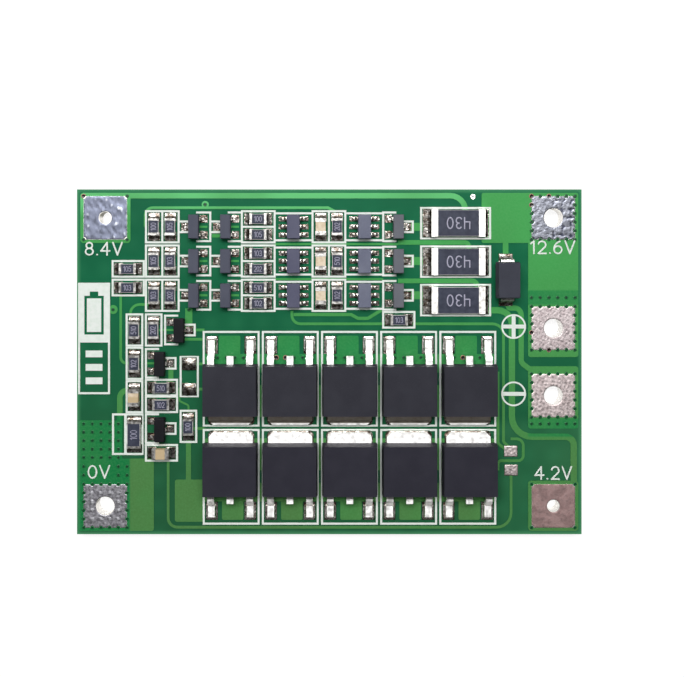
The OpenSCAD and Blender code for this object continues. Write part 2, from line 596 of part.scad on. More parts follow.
// Below, each current path has one plain pour: pack minus, board minus, plus and the common drains
module bottom_copper() {
    color([0.27, 0.62, 0.33]) translate([0, 0, tin_t]) linear_extrude(copper_t) difference() {
        union() {
            soft_bar([left(edge_in), bottom(edge_in)], [power_right_x, power_mid_y - fet_row_y - 2], 0.3);
            soft_bar([left(edge_in), bottom(edge_in)], [left(pour_in), bottom(13.55)], 0.3);
            soft_bar([power_left_x, power_mid_y - fet_row_y - 1],
                     [power_right_x, power_mid_y + fet_row_y + 1], 0.3);
            soft_bar([right(pour_in + 2), output_y - pad_side / 2 - 1.8], [right(edge_in), minus_low], 0.3);
            soft_bar([power_left_x, fet_ys[0] + 2], [right(pour_in + 1), fet_ys[0] + 6.3], 0.3);
            soft_bar([right(pour_in), top(edge_in)], [right(edge_in), output_y - pad_side / 2 - 0.85], 0.3);
            soft_bar([left(edge_in), top(edge_in)], [left(pour_in), top(pour_in)], pad_rim);
            soft_bar([right(pour_in), bottom(edge_in)], [right(edge_in), bottom(pour_in)], pad_rim);
        }
        for (p = pads) translate(p[0]) pad_outline(p[2]);
    }
}
module solder_lands() { color([0.78, 0.78, 0.8]) translate([0, 0, z_ink]) linear_extrude(tin_t) lands(); }
module terminal(p) {
    color([0.72, 0.7, 0.75]) translate([p[0][0], p[0][1], 0]) difference() {
        union() {
            linear_extrude(z_laminate) pad_outline(p[2]);
            translate([0, 0, z_top]) linear_extrude(z_seat - z_top) pad_outline(p[2]);
            cylinder(d = p[1] + 2 * plating_t, h = z_seat);
        }
        translate([0, 0, -overcut]) cylinder(d = p[1], h = z_seat + 2 * overcut);
    }
}

// The legend's lines round each part run along the middle of its outline
module ink_box(size) { frame([size[0] + ink_w, size[1] + ink_w], ink_w); }
// A three-legged outline is wide on the side of its two legs and narrow round the single one
module three_leg_ink(room) {
    wide = sot3_box / 2;
    for (s = [-1, 1]) {
        bar([0.3, s * (sot3_stem - ink_w)], [room / 2 + ink_w / 2, s * sot3_stem]);
        bar([-0.2, s * (wide - ink_w / 2)], [-room / 2 - ink_w / 2, s * (wide + ink_w / 2)]);
    }
    bar([room / 2 - ink_w / 2, -sot3_stem], [room / 2 + ink_w / 2, sot3_stem]);
    bar([-room / 2 - ink_w / 2, -wide - ink_w / 2], [-room / 2 + ink_w / 2, wide + ink_w / 2]);
}
module channel_ink(i) {
    y = channel_y(i);
    for (c = [0, 1, 4, 6, 7]) translate([cell_x(c), y]) ink_box([cells[c], chip_cell_l]);
    translate([cell_x(4), y]) square([cells[4], ink_w], center = true);
    for (c = [2, 3]) translate([cell_x(c), y]) rotate(around) three_leg_ink(cells[c]);
    translate([cell_x(9), y]) three_leg_ink(cells[9]);
    for (c = [5, 8]) for (s = [-1, 1])
        translate([cell_x(c), y + s * (sot_pitch + sot6_land_w / 2 + ink_gap + 0.3)])
            square([cells[c], ink_w], center = true);
}
module polarity_ring() { difference() { circle(mark_r); circle(mark_r - 0.2); } }
panel_top = 9.4;
panel_x = left(0.15);
mark_x = right(8.1);
mark_shift = 0.2;
module rating_panel() {
    // A printed field with a cell cut out of it
    translate([panel_x, panel_top - panel_print_l]) difference() {
        square([panel_w, panel_print_l]);
        translate([panel_w / 2, panel_print_l / 2 - 0.3]) difference() {
            union() {
                square([2.3, 4.6], center = true);
                translate([0, 2.5]) square([1, 0.6], center = true);
            }
            square([1.7, 4], center = true);
        }
    }
    // An outlined field with one bar for each cell
    translate([panel_x + panel_w / 2, panel_top - panel_print_l - panel_box_l / 2]) {
        frame([panel_w, panel_box_l + 2 * ink_w], ink_w);
        for (i = [0 : channels - 1])
            translate([0, (i - (channels - 1) / 2) * 1.6]) square([2, 0.8], center = true);
    }
}
module legend_flat() {
    for (i = [0 : channels - 1]) {
        channel_ink(i);
        translate([bleed_x, bleed_y(i)]) ink_box(bleed_box);
    }
    for (p = concat([gate_chip], left_chips, logic_chips, [capacitors[channels], capacitors[channels + 1]]))
        place(p) ink_box([chip_cell_l, chip_cell_w]);
    place(long_chip) ink_box([long_cell_l, long_w + outline_side]);
    translate([column_a - half_w - 0.9, long_chip[1]]) ink_box([1.45, long_cell_l]);
    for (p = logic_places) place(p) three_leg_ink(sot3_cell);
    for (s = fet_ys) for (i = [0 : fet_count - 1])
        translate([fet_x(i), power_mid_y + sign(s - power_mid_y) * (line_gap + power_box[1] / 2)])
            frame(power_box, ink_w);
    translate(spare_at) ink_box(spare_box);
    rating_panel();
    // Polarity marks beside the two output terminals
    for (s = [-1, 1]) translate([mark_x, s * output_y + mark_shift]) {
        polarity_ring();
        square([2 * mark_r - 0.2, mark_bar], center = true);
    }
    translate([mark_x, output_y + mark_shift]) square([mark_bar, 2 * mark_r - 0.2], center = true);
}
module legend() {
    color("white") translate([0, 0, z_ink]) linear_extrude(ink_t) difference() {
        legend_flat();
        lands(ink_gap);
    }
}

// Power transistor: a drafted body with its tab towards -Y and its long leads towards +Y
fet_draft = 7;
fet_slug_top = 1.3;
fet_root = 0.5;
module fet_drain() {
    tab = fet_tab_end;
    linear_extrude(fet_lead_t) polygon([
        [fet_tab_cut - fet_tab_w / 2, -tab], [fet_tab_w / 2 - fet_tab_cut, -tab],
        [fet_tab_w / 2, fet_tab_cut - tab], [fet_tab_w / 2, fet_slug_top],
        [-fet_tab_w / 2, fet_slug_top], [-fet_tab_w / 2, fet_tab_cut - tab]]);
    rotate(90) lead([[fet_slug_top - 0.3, fet_lead_t / 2], [fet_slug_top + 0.2, fet_lead_t / 2],
                     [fet_slug_top + 0.9, fet_lead_z], [fet_l / 2 + fet_stub, fet_lead_z]],
                     0.3, fet_lead_t, fet_lead_w, 3);
}
module fet_leads() {
    fet_drain();
    knee = fet_tip - fet_foot;
    for (s = [-1, 1]) translate([s * fet_pitch, 0, 0]) rotate(90)
        lead([[fet_l / 2 - fet_root, fet_lead_z], [knee - 0.75, fet_lead_z], [knee - 0.2, fet_lead_t / 2],
              [fet_tip, fet_lead_t / 2]], 0.4, fet_lead_t, fet_lead_w, 4);
}
module fet_body() {
    difference() {
        moulded(fet_w, fet_l, fet_h, fet_lead_z, fet_draft);
        fet_leads();
    }
}
// Transistor i of the row of that name, where the board has room for it
module fet_place(row, i) {
    for (r = [0 : len(rows) - 1]) if (rows[r] == row && i < fet_count)
        translate([0, 0, z_seat]) row_place(r, i) children();
}

// Chip parts lie along X: a ceramic block, two wrapped end caps and, on a resistor, a glaze on top
module chip_block(l, w, h) { box([l - 2 * cap_t, w - 2 * cap_t, h - 2 * cap_t], cap_t); }
module chip_caps(l, w, h, cap) {
    for (s = [-1, 1]) difference() {
        translate([s * (l - cap) / 2, 0, 0]) box([cap, w, h], 0);
        chip_block(l, w, h);
    }
}
module chip_glaze(l, w, h, cap) { box([l - 2 * cap, w - 4 * cap_t, glaze_t], h - cap_t); }

// Legs of a small moulded part: from the body's side down to a foot on its land
sot_draft = 7;
sot_parting = 0.5;
module leg(body_w, span) {
    knee = span / 2 - sot_foot;
    lead([[body_w / 2 - 0.2, sot_parting], [knee - 0.1, sot_parting], [knee + 0.02, sot_leg_t / 2],
          [span / 2, sot_leg_t / 2]], 0.1, sot_leg_t, sot_leg_w, 2);
}
module three_legs() {
    leg(sot3_w, sot3_span);
    for (s = [-1, 1]) translate([0, s * sot_pitch, 0]) rotate(180) leg(sot3_w, sot3_span);
}
module six_legs() {
    for (i = [-1 : 1]) for (a = [0, 180]) translate([0, i * sot_pitch, 0]) rotate(a) leg(sot6_w, sot6_span);
}
// Each body stands clear of the board on its legs
sot_clear = 0.1;
module small_body(l, w) {
    translate([0, 0, sot_clear]) rotate(90)
        moulded(l, w, sot_h - sot_clear, sot_parting - sot_clear, sot_draft);
}
module three_leg_body() { difference() { small_body(sot3_l, sot3_w); three_legs(); } }
module six_leg_body() { difference() { small_body(sot6_l, sot6_w); six_legs(); } }
module on_lands(places) { translate([0, 0, z_seat]) for (p = places) place(p) children(); }
module three_leg_group(places) { color([0.29, 0.3, 0.36]) on_lands(places) three_leg_body(); }
module six_leg_chip(p) { color([0.33, 0.33, 0.42]) on_lands([p]) six_leg_body(); }

// Diode: a moulded body held by two straps that bend down its ends and under it
diode_draft = 6;
diode_parting = 1.1;
diode_clear = 0.05;
diode_place = [[diode_at[0], diode_at[1], upright]];
module strap() {
    end = diode_span / 2 - diode_lead_t / 2;
    lead([[diode_l / 2 - 0.4, diode_parting], [end, diode_parting], [end, diode_lead_t / 2],
          [end - diode_heel, diode_lead_t / 2]], diode_lead_t, diode_lead_t, diode_lead_w, 3);
}
module straps() { for (a = [0, 180]) rotate(a) strap(); }

function bleed_place(i) = [bleed_x + bleed_shift, bleed_y(i), 0];

// Solder: a hollow fillet from a land up a part's end
joint_tip = 0.02;
joint_steps = 5;
module fillet(reach, rise, w) {
    translate([0, w / 2, 0]) rotate([90, 0, 0]) linear_extrude(w) polygon(concat([[0, 0], [reach, 0]],
        [for (i = [0 : joint_steps]) let (a = 90 * i / joint_steps)
            [reach * (1 - sin(a)), joint_tip + (rise - joint_tip) * (1 - cos(a))]]));
}
module end_fillets(l, reach, rise, w) {
    for (a = [0, 180]) rotate(a) translate([l / 2, 0, 0]) fillet(reach, rise, w);
}
joint_edge = 0.06;
joint_rise = 0.8;
module leg_fillet(span, w) {
    translate([span / 2, 0, 0]) fillet(sot_toe - joint_edge, sot_leg_t * joint_rise, w);
}
// A power lead's foot has solder at its tip and along both sides
module foot_solder() {
    side = (fet_land_w - fet_lead_w) / 2 - joint_edge;
    translate([0, fet_tip, 0]) rotate(90) fillet(fet_toe - joint_edge, fet_lead_t * joint_rise, fet_lead_w + side);
    for (a = [0, 180]) translate([0, fet_tip - fet_foot / 2 + side / 2, 0]) rotate(a)
        translate([fet_lead_w / 2, 0, 0]) fillet(side, fet_lead_t * joint_rise, fet_foot + side);
}
module solder_pillow() {
    size = [spare_land[0] - 2 * joint_edge, spare_land[1] - 2 * joint_edge];
    pillow_h = 0.34;
    r = (pow(norm(size) / 2, 2) + pow(pillow_h, 2)) / (2 * pillow_h);
    intersection() {
        translate([0, 0, pillow_h - r]) sphere(r);
        box([size[0], size[1], pillow_h], 0);
    }
}
module solder_joints() {
    color([0.8, 0.8, 0.82]) {
        on_lands(chips) end_fillets(chip_l, chip_toe - joint_edge, chip_h * joint_rise, chip_w);
        on_lands(capacitors) end_fillets(chip_l, chip_toe - joint_edge, cap_h * 0.6, chip_w);
        on_lands([long_chip]) end_fillets(long_l, long_toe - joint_edge, chip_h * joint_rise, long_w);
        for (i = [0 : channels - 1]) on_lands([bleed_place(i)]) for (s = [-1, 1]) rotate(90 - 90 * s)
            translate([bleed_l / 2, 0, 0])
                fillet(bleed_toe - joint_edge - s * bleed_shift, bleed_h * joint_rise, bleed_w);
        on_lands(diode_place) end_fillets(diode_span, diode_toe - joint_edge, diode_lead_w / 3, diode_lead_w);
        on_lands(three_leg_places) {
            leg_fillet(sot3_span, sot_leg_w);
            for (s = [-1, 1]) translate([0, s * sot_pitch, 0]) rotate(180) leg_fillet(sot3_span, sot_leg_w);
        }
        on_lands(six_leg_places) for (i = [-1 : 1]) for (a = [0, 180])
            translate([0, i * sot_pitch, 0]) rotate(a) leg_fillet(sot6_span, sot_leg_w);
        for (row = rows) for (i = [0 : fet_count - 1]) fet_place(row, i)
            for (s = [-1, 1]) translate([s * fet_pitch, 0, 0]) foot_solder();
        for (s = [-1, 1]) on_lands([[spare_at[0], spare_at[1] + s * spare_pitch / 2, 0]]) solder_pillow();
    }
}

module power_body(row, i) { color([0.22, 0.22, 0.27]) fet_place(row, i) fet_body(); }
module power_leads(row, i) { color("silver") fet_place(row, i) fet_leads(); }
module bleed_ceramic(i) {
    color([0.16, 0.16, 0.18]) on_lands([bleed_place(i)]) chip_block(bleed_l, bleed_w, bleed_h);
}
module bleed_caps(i) {
    color("silver") on_lands([bleed_place(i)]) chip_caps(bleed_l, bleed_w, bleed_h, bleed_cap);
}
module six_leg_chip_legs() { color("silver") on_lands(six_leg_places) six_legs(); }
module sense_transistors() { three_leg_group(sense_places); }
module switch_transistors() { three_leg_group(switch_places); }
module bleed_transistors() { three_leg_group(bleed_places); }
module logic_transistors() { three_leg_group(logic_places); }
module three_leg_transistor_legs() { color("silver") on_lands(three_leg_places) three_legs(); }
module resistor_ceramics() { color([0.9, 0.9, 0.88]) on_lands(chips) chip_block(chip_l, chip_w, chip_h); }
module resistor_caps() { color("silver") on_lands(chips) chip_caps(chip_l, chip_w, chip_h, chip_cap); }
module resistor_glazes() {
    color([0.12, 0.12, 0.14]) {
        on_lands(chips) chip_glaze(chip_l, chip_w, chip_h, chip_cap);
        on_lands([long_chip]) chip_glaze(long_l, long_w, chip_h, chip_cap);
        for (i = [0 : channels - 1]) on_lands([bleed_place(i)]) chip_glaze(bleed_l, bleed_w, bleed_h, bleed_cap);
    }
}
module capacitor_bodies() { color([0.72, 0.6, 0.42]) on_lands(capacitors) chip_block(chip_l, chip_w, cap_h); }
module capacitor_caps() { color("silver") on_lands(capacitors) chip_caps(chip_l, chip_w, cap_h, cap_cap); }
module long_resistor_ceramic() {
    color([0.9, 0.9, 0.88]) on_lands([long_chip]) chip_block(long_l, long_w, chip_h);
}
module long_resistor_caps() {
    color("silver") on_lands([long_chip]) chip_caps(long_l, long_w, chip_h, chip_cap);
}
module diode_body() {
    color([0.2, 0.2, 0.24]) on_lands(diode_place) difference() {
        translate([0, 0, diode_lead_t + diode_clear])
            moulded(diode_l, diode_w, diode_h - diode_lead_t - diode_clear,
                    diode_parting - diode_lead_t - diode_clear, diode_draft);
        straps();
    }
}
module diode_leads() { color("silver") on_lands(diode_place) straps(); }

laminate();
top_copper();
bottom_copper();
solder_lands();
legend();
solder_joints();
terminal(pad_0v);  // terminal_0v
terminal(pad_4v2);  // terminal_4v2
terminal(pad_8v4);  // terminal_8v4
terminal(pad_12v6);  // terminal_12v6
terminal(pad_plus);  // terminal_plus
terminal(pad_minus);  // terminal_minus
power_body("upper", 0);  // upper_power_transistor_1_body
power_leads("upper", 0);  // upper_power_transistor_1_leads
power_body("upper", 1);  // upper_power_transistor_2_body
power_leads("upper", 1);  // upper_power_transistor_2_leads
power_body("upper", 2);  // upper_power_transistor_3_body
power_leads("upper", 2);  // upper_power_transistor_3_leads
power_body("upper", 3);  // upper_power_transistor_4_body
power_leads("upper", 3);  // upper_power_transistor_4_leads
power_body("upper", 4);  // upper_power_transistor_5_body
power_leads("upper", 4);  // upper_power_transistor_5_leads
power_body("lower", 0);  // lower_power_transistor_1_body
power_leads("lower", 0);  // lower_power_transistor_1_leads
power_body("lower", 1);  // lower_power_transistor_2_body
power_leads("lower", 1);  // lower_power_transistor_2_leads
power_body("lower", 2);  // lower_power_transistor_3_body
power_leads("lower", 2);  // lower_power_transistor_3_leads
power_body("lower", 3);  // lower_power_transistor_4_body
power_leads("lower", 3);  // lower_power_transistor_4_leads
power_body("lower", 4);  // lower_power_transistor_5_body
power_leads("lower", 4);  // lower_power_transistor_5_leads
bleed_ceramic(0);  // bleed_resistor_1_ceramic
bleed_caps(0);  // bleed_resistor_1_caps
bleed_ceramic(1);  // bleed_resistor_2_ceramic
bleed_caps(1);  // bleed_resistor_2_caps
bleed_ceramic(2);  // bleed_resistor_3_ceramic
bleed_caps(2);  // bleed_resistor_3_caps
six_leg_chip(protection_places[0]);  // protection_chip_1
six_leg_chip(balance_places[0]);  // balance_chip_1
six_leg_chip(protection_places[1]);  // protection_chip_2
six_leg_chip(balance_places[1]);  // balance_chip_2
six_leg_chip(protection_places[2]);  // protection_chip_3
six_leg_chip(balance_places[2]);  // balance_chip_3
six_leg_chip_legs();
sense_transistors();
switch_transistors();
bleed_transistors();
logic_transistors();
three_leg_transistor_legs();
resistor_ceramics();
resistor_caps();
resistor_glazes();
capacitor_bodies();
capacitor_caps();
long_resistor_ceramic();
long_resistor_caps();
diode_body();
diode_leads();
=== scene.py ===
"""Finish of a battery management board: solder mask, tin, solder, moulded parts, marks and stage.

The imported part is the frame. Shapes are worked out in millimetres as whole arrays and stored in metres.
"""

import json
import math

import bpy
import numpy as np
from bpy.props import FloatProperty, FloatVectorProperty, PointerProperty
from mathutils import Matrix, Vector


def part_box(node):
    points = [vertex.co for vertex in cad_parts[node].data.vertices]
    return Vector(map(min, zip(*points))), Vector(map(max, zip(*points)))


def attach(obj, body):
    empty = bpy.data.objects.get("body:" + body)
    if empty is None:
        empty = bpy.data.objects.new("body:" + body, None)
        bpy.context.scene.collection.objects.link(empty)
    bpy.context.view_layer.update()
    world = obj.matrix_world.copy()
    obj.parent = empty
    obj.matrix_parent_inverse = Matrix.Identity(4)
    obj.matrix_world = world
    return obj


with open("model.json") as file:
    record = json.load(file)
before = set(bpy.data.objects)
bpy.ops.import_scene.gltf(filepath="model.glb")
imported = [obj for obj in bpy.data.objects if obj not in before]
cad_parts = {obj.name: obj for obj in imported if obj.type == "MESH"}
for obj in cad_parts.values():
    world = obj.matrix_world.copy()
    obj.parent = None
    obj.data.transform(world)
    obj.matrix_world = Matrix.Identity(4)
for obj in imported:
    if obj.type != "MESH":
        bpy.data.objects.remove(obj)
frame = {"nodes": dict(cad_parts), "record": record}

bl_info = {
    "name": "Battery management board finish",
    "version": (1, 0, 0),
    "blender": (4, 5, 0),
    "location": "View3D > Sidebar > Board",
    "description": "Finishes a packed battery management board with mask, tin, moulded parts and marks",
    "category": "Object",
}

MM = 0.001
SIZES = {name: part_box(name) for name in frame["nodes"]}
# Sides of the board, and the tops of its copper and of its bare lands, in millimetres
WEST, SOUTH, EAST, NORTH = (SIZES["laminate"][k][axis] / MM for k in (0, 1) for axis in (0, 1))
COPPER_TOP = SIZES["top_copper"][1].z / MM
LAND_TOP = SIZES["solder_lands"][1].z / MM
# How far in from its end a power transistor's tab is clean, then brown with painted shadow and then tinted,
# in millimetres
TAB_RIM, TAB_SHADOW_END, TAB_REACH = 0.22, 0.5, 1.3
TAPS = ["terminal_4v2", "terminal_8v4"]
TERMINALS = ["terminal_0v", *TAPS, "terminal_12v6", "terminal_plus", "terminal_minus"]


def centre(name):
    """Middle of a CAD node in plan, in millimetres."""
    low, high = SIZES[name]
    return np.array([(low.x + high.x) / 2, (low.y + high.y) / 2]) / MM


def linear(code):
    """An sRGB hex colour as the linear colour that a shader needs."""
    parts = [int(code[i : i + 2], 16) / 255 for i in (1, 3, 5)]
    return (*[p / 12.92 if p <= 0.04045 else ((p + 0.055) / 1.055) ** 2.4 for p in parts], 1.0)


def setting(name):
    """One of the board's settings in the panel."""
    return getattr(bpy.context.scene.board_finish, name)


def solids(name):
    """Lowest and highest corner of each separate solid of a CAD node, in millimetres.

    Equal corners share a number, and the smallest number in each triangle spreads until none changes.
    """
    mesh = frame["nodes"][name].data
    points = np.empty(len(mesh.vertices) * 3, np.float32)
    mesh.vertices.foreach_get("co", points)
    points = points.reshape(-1, 3) / MM
    corners = np.empty(len(mesh.loops), np.int32)
    mesh.loops.foreach_get("vertex_index", corners)
    _, same = np.unique(np.round(points, 3), axis=0, return_inverse=True)
    faces = same.ravel()[corners.reshape(-1, 3)]
    label = np.arange(same.max() + 1)
    while True:
        least = label[faces].min(1)
        spread = label.copy()
        for column in range(3):
            np.minimum.at(spread, faces[:, column], least)
        spread = spread[spread]
        if (spread == label).all():
            break
        label = spread
    owner = label[same.ravel()]
    return [(points[owner == k].min(0), points[owner == k].max(0)) for k in np.unique(owner)]


def add_mesh(name, points, faces, material):
    """A mesh in the scene, from points in metres and the corners of each face."""
    mesh = bpy.data.meshes.new(name)
    mesh.from_pydata(points, [], faces)
    mesh.materials.append(material)
    piece = bpy.data.objects.new(name, mesh)
    bpy.context.scene.collection.objects.link(piece)
    return piece


def shell(name, grids, material, ring=False, values=None):
    """A closed mesh from grids of points in millimetres, an array of copies x rows x columns x 3.

    The columns close round. The rows close round too where ring is true, and end in a face where it isn't.
    values is a number for each point, which a material reads as the attribute across.
    """
    copies, rows, columns, _ = grids.shape
    index = np.arange(copies * rows * columns).reshape(copies, rows, columns)
    first = index if ring else index[:, :-1]
    second = np.roll(index, -1, 1) if ring else index[:, 1:]
    quads = np.stack([first, np.roll(first, -1, 2), np.roll(second, -1, 2), second], -1).reshape(-1, 4)
    points = grids.reshape(-1, 3)
    a, b, c, d = (points[quads[:, k]] for k in range(4))
    volume = (np.cross(b - a, c - a) * a).sum() + (np.cross(c - a, d - a) * a).sum()
    ends = [] if ring else [*index[:, 0, ::-1], *index[:, -1]]
    faces = [*quads, *ends]
    if volume < 0:
        faces = [face[::-1] for face in faces]
    piece = add_mesh(name, (points * MM).tolist(), [list(map(int, face)) for face in faces], material)
    piece.data.polygons.foreach_set("use_smooth", [True] * len(faces))
    if values is not None:
        across = piece.data.attributes.new("across", "FLOAT", "POINT")
        across.data.foreach_set("value", values.ravel().astype(np.float32))
    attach(piece, "root")
    return piece


def paint(material, *names):
    """Gives CAD nodes that finish."""
    for name in names:
        mesh = frame["nodes"][name].data
        mesh.materials.clear()
        mesh.materials.append(material)


def soften(names, width_mm):
    """Rounds the sharp edges of CAD nodes with live modifiers: equal corners are merged, then bevelled."""
    for name in names:
        node = frame["nodes"][name]
        node.modifiers.new("merged corners", "WELD").merge_threshold = 0.0005 * MM
        bevel = node.modifiers.new("rounded edges", "BEVEL")
        bevel.width, bevel.segments = width_mm * MM, 2
        bevel.limit_method, bevel.angle_limit = "ANGLE", math.radians(40)
        node.modifiers.new("flat faces stay flat", "WEIGHTED_NORMAL").weight = 100


# Finishes

# Settings of a node that steps smoothly between two levels, and of one that mixes colours
SMOOTH = {"interpolation_type": "SMOOTHSTEP"}
COLOURS = {"data_type": "RGBA"}


def shade(tree, kind, inputs=(), **settings):
    """Adds one shader node with its settings, sets or links its inputs, and returns its outputs."""
    made = tree.nodes.new("ShaderNode" + kind)
    for name, value in settings.items():
        setattr(made, name, value)
    for key, value in dict(inputs).items():
        if isinstance(value, bpy.types.NodeSocket):
            tree.links.new(value, made.inputs[key])
        else:
            made.inputs[key].default_value = value
    return made.outputs


def finish(name):
    """An empty node material with that name, and its node tree."""
    material = bpy.data.materials.new(name)
    material.use_nodes = True
    material.node_tree.nodes.clear()
    return material, material.node_tree


def lumps(tree, where, size_mm, detail, between, ends=(0.0, 1.0)):
    """Patches of about that size: noise, in a smooth step between two of its levels."""
    noise = shade(tree, "TexNoise", {"Vector": where, "Scale": 1 / (size_mm * MM), "Detail": detail})[0]
    levels = {"Value": noise, 1: between[0], 2: between[1], 3: ends[0], 4: ends[1]}
    return shade(tree, "MapRange", levels, **SMOOTH)[0]


def mottle(tree, where, base, other, size_mm, detail, between, most=1.0):
    """A colour with patches of another one, which are that strong at most."""
    share = lumps(tree, where, size_mm, detail, between, (0.0, most))
    return shade(tree, "Mix", {0: share, 6: base, 7: other}, **COLOURS)[2]


def grain(tree, where, strength, depth_mm, size_mm, detail=2.0):
    """An uneven surface: noise of that size, taken as a height."""
    height = shade(tree, "TexNoise", {"Vector": where, "Scale": 1 / (size_mm * MM), "Detail": detail})[0]
    return shade(tree, "Bump", {"Strength": strength, "Distance": depth_mm * MM, "Height": height})[0]


def zone(tree, where, west, east, south, north, soft=0.3):
    """One inside a rectangle of the board, in millimetres, and zero outside it, with soft edges."""
    split = shade(tree, "SeparateXYZ", {0: where})
    inside = 1.0
    sides = [("X", west, 0, 1), ("X", east, 1, 0), ("Y", south, 0, 1), ("Y", north, 1, 0)]
    for axis, side, before, after in sides:
        start, stop = (side - soft / 2) * MM, (side + soft / 2) * MM
        levels = {"Value": split[axis], 1: start, 2: stop, 3: before, 4: after}
        edge = shade(tree, "MapRange", levels, **SMOOTH)[0]
        inside = shade(tree, "Math", {0: inside, 1: edge}, operation="MULTIPLY")[0]
    return inside


def close(tree, colour, roughness, normal=None, **settings):
    """Ends a material with the physical shader and its output."""
    inputs = {"Base Color": colour, "Roughness": roughness}
    if normal is not None:
        inputs["Normal"] = normal
    inputs.update({key.replace("_", " "): value for key, value in settings.items()})
    surface = shade(tree, "BsdfPrincipled", inputs)[0]
    shade(tree, "OutputMaterial", {"Surface": surface})


def mask_finish(name, southern, northern, cloudy, zones=()):
    """Glossy solder mask: an epoxy film that floods flat, olive to the south and bluer to the north.

    Each of zones is the sides of a rectangle of the board and the colour inside it.
    """
    material, tree = finish(name)
    where = shade(tree, "TexCoord")["Object"]
    levels = {"Value": shade(tree, "SeparateXYZ", {0: where})["Y"], 1: SOUTH * 0.9 * MM, 2: NORTH * 0.7 * MM}
    northward = shade(tree, "MapRange", levels, **SMOOTH)[0]
    base = shade(tree, "Mix", {0: northward, 6: southern, 7: northern}, **COLOURS)[2]
    for *sides, colour in zones:
        base = shade(tree, "Mix", {0: zone(tree, where, *sides), 6: base, 7: colour}, **COLOURS)[2]
    base = mottle(tree, where, base, cloudy, 9.0, 2.0, (0.35, 0.75), 0.5)
    # Light enters the cut edge and brightens the resin and the film for about 0.6 mm
    inner = zone(tree, where, WEST + 0.2, EAST - 0.2, SOUTH + 0.2, NORTH - 0.2, 0.8)
    lit = shade(tree, "MapRange", {"Value": inner, 3: 0.62, 4: 0.0})[0]
    base = shade(tree, "Mix", {0: lit, 6: base, 7: linear("#62b27d")}, **COLOURS)[2]
    ripple = grain(tree, where, setting("mask_ripple"), 0.02, 1.6, 3.0)
    return material, tree, where, base, ripple


def laminate_finish():
    """Solder mask over glass epoxy: deep green with the glass weave just showing, and bare cut edges.

    The real weave is about 0.5 mm apart and the plies 0.2 mm. Both are drawn tau times as coarse, to show.
    """
    # The film is paler in the south-east corner, round the 4.2 V terminal
    paler = [(EAST - 9.3, EAST + 3, SOUTH - 3, SOUTH + 13.5, 2.0, linear("#35744c"))]
    tones = linear("#2a6340"), setting("laminate_colour"), linear("#14603f")
    material, tree, where, base, ripple = mask_finish("solder_mask_on_glass_epoxy", *tones, paler)
    # At a scale of 1 a wave texture's stripes are tau / 20 apart
    weave, ply = (math.tau / 20 / (math.tau * apart_mm * MM) for apart_mm in (0.5, 0.2))
    threads = {"Vector": where, "Scale": weave, "Distortion": 0.6}
    across, along = (shade(tree, "TexWave", threads, bands_direction=axis)[1] for axis in "XY")
    crossed = shade(tree, "Math", {0: across, 1: along}, operation="MULTIPLY")[0]
    faint = shade(tree, "Math", {0: crossed, 1: 0.1}, operation="MULTIPLY")[0]
    base = shade(tree, "Mix", {0: faint, 6: base, 7: linear("#3f9a6a")}, **COLOURS)[2]
    # The saw leaves the cut edge matt: pale yellow resin with rows of glass
    upright = shade(tree, "SeparateXYZ", {0: shade(tree, "NewGeometry")["Normal"]})["Z"]
    level = shade(tree, "Math", {0: upright}, operation="ABSOLUTE")[0]
    flat = shade(tree, "MapRange", {"Value": level, 1: 0.4, 2: 0.6}, **SMOOTH)[0]
    plies = {"Vector": where, "Scale": ply, "Distortion": 1.2}
    glass = shade(tree, "TexWave", plies, bands_direction="Z")[1]
    edge = shade(tree, "Mix", {0: glass, 6: linear("#a8ad6c"), 7: linear("#c9c994")}, **COLOURS)[2]
    colour = shade(tree, "Mix", {0: flat, 6: edge, 7: base}, **COLOURS)[2]
    rough = shade(tree, "MapRange", {"Value": flat, 3: 0.7, 4: 0.25})[0]
    close(tree, colour, rough, ripple, Specular_IOR_Level=0.12)
    return material


def copper_mask_finish(name, southern, northern, cloudy, zones=()):
    """Solder mask over copper: the bright metal below makes the film look lighter."""
    material, tree, where, base, ripple = mask_finish(name, southern, northern, cloudy, zones)
    base = mottle(tree, where, base, linear("#7fcf86"), 0.25, 2.0, (0.3, 0.75), 0.08)
    close(tree, base, 0.25, ripple, Specular_IOR_Level=0.12)
    return material


def ink_finish():
    """Screened epoxy ink: nearly white, thin enough that a little green comes through."""
    material, tree = finish("screened_white_ink")
    where = shade(tree, "TexCoord")["Object"]
    colour = mottle(tree, where, setting("ink_colour"), linear("#c8e2cd"), 0.5, 3.0, (0.35, 0.7), 0.25)
    close(tree, colour, 0.6, grain(tree, where, 0.3, 0.01, 0.12), Specular_IOR_Level=0.3)
    return material


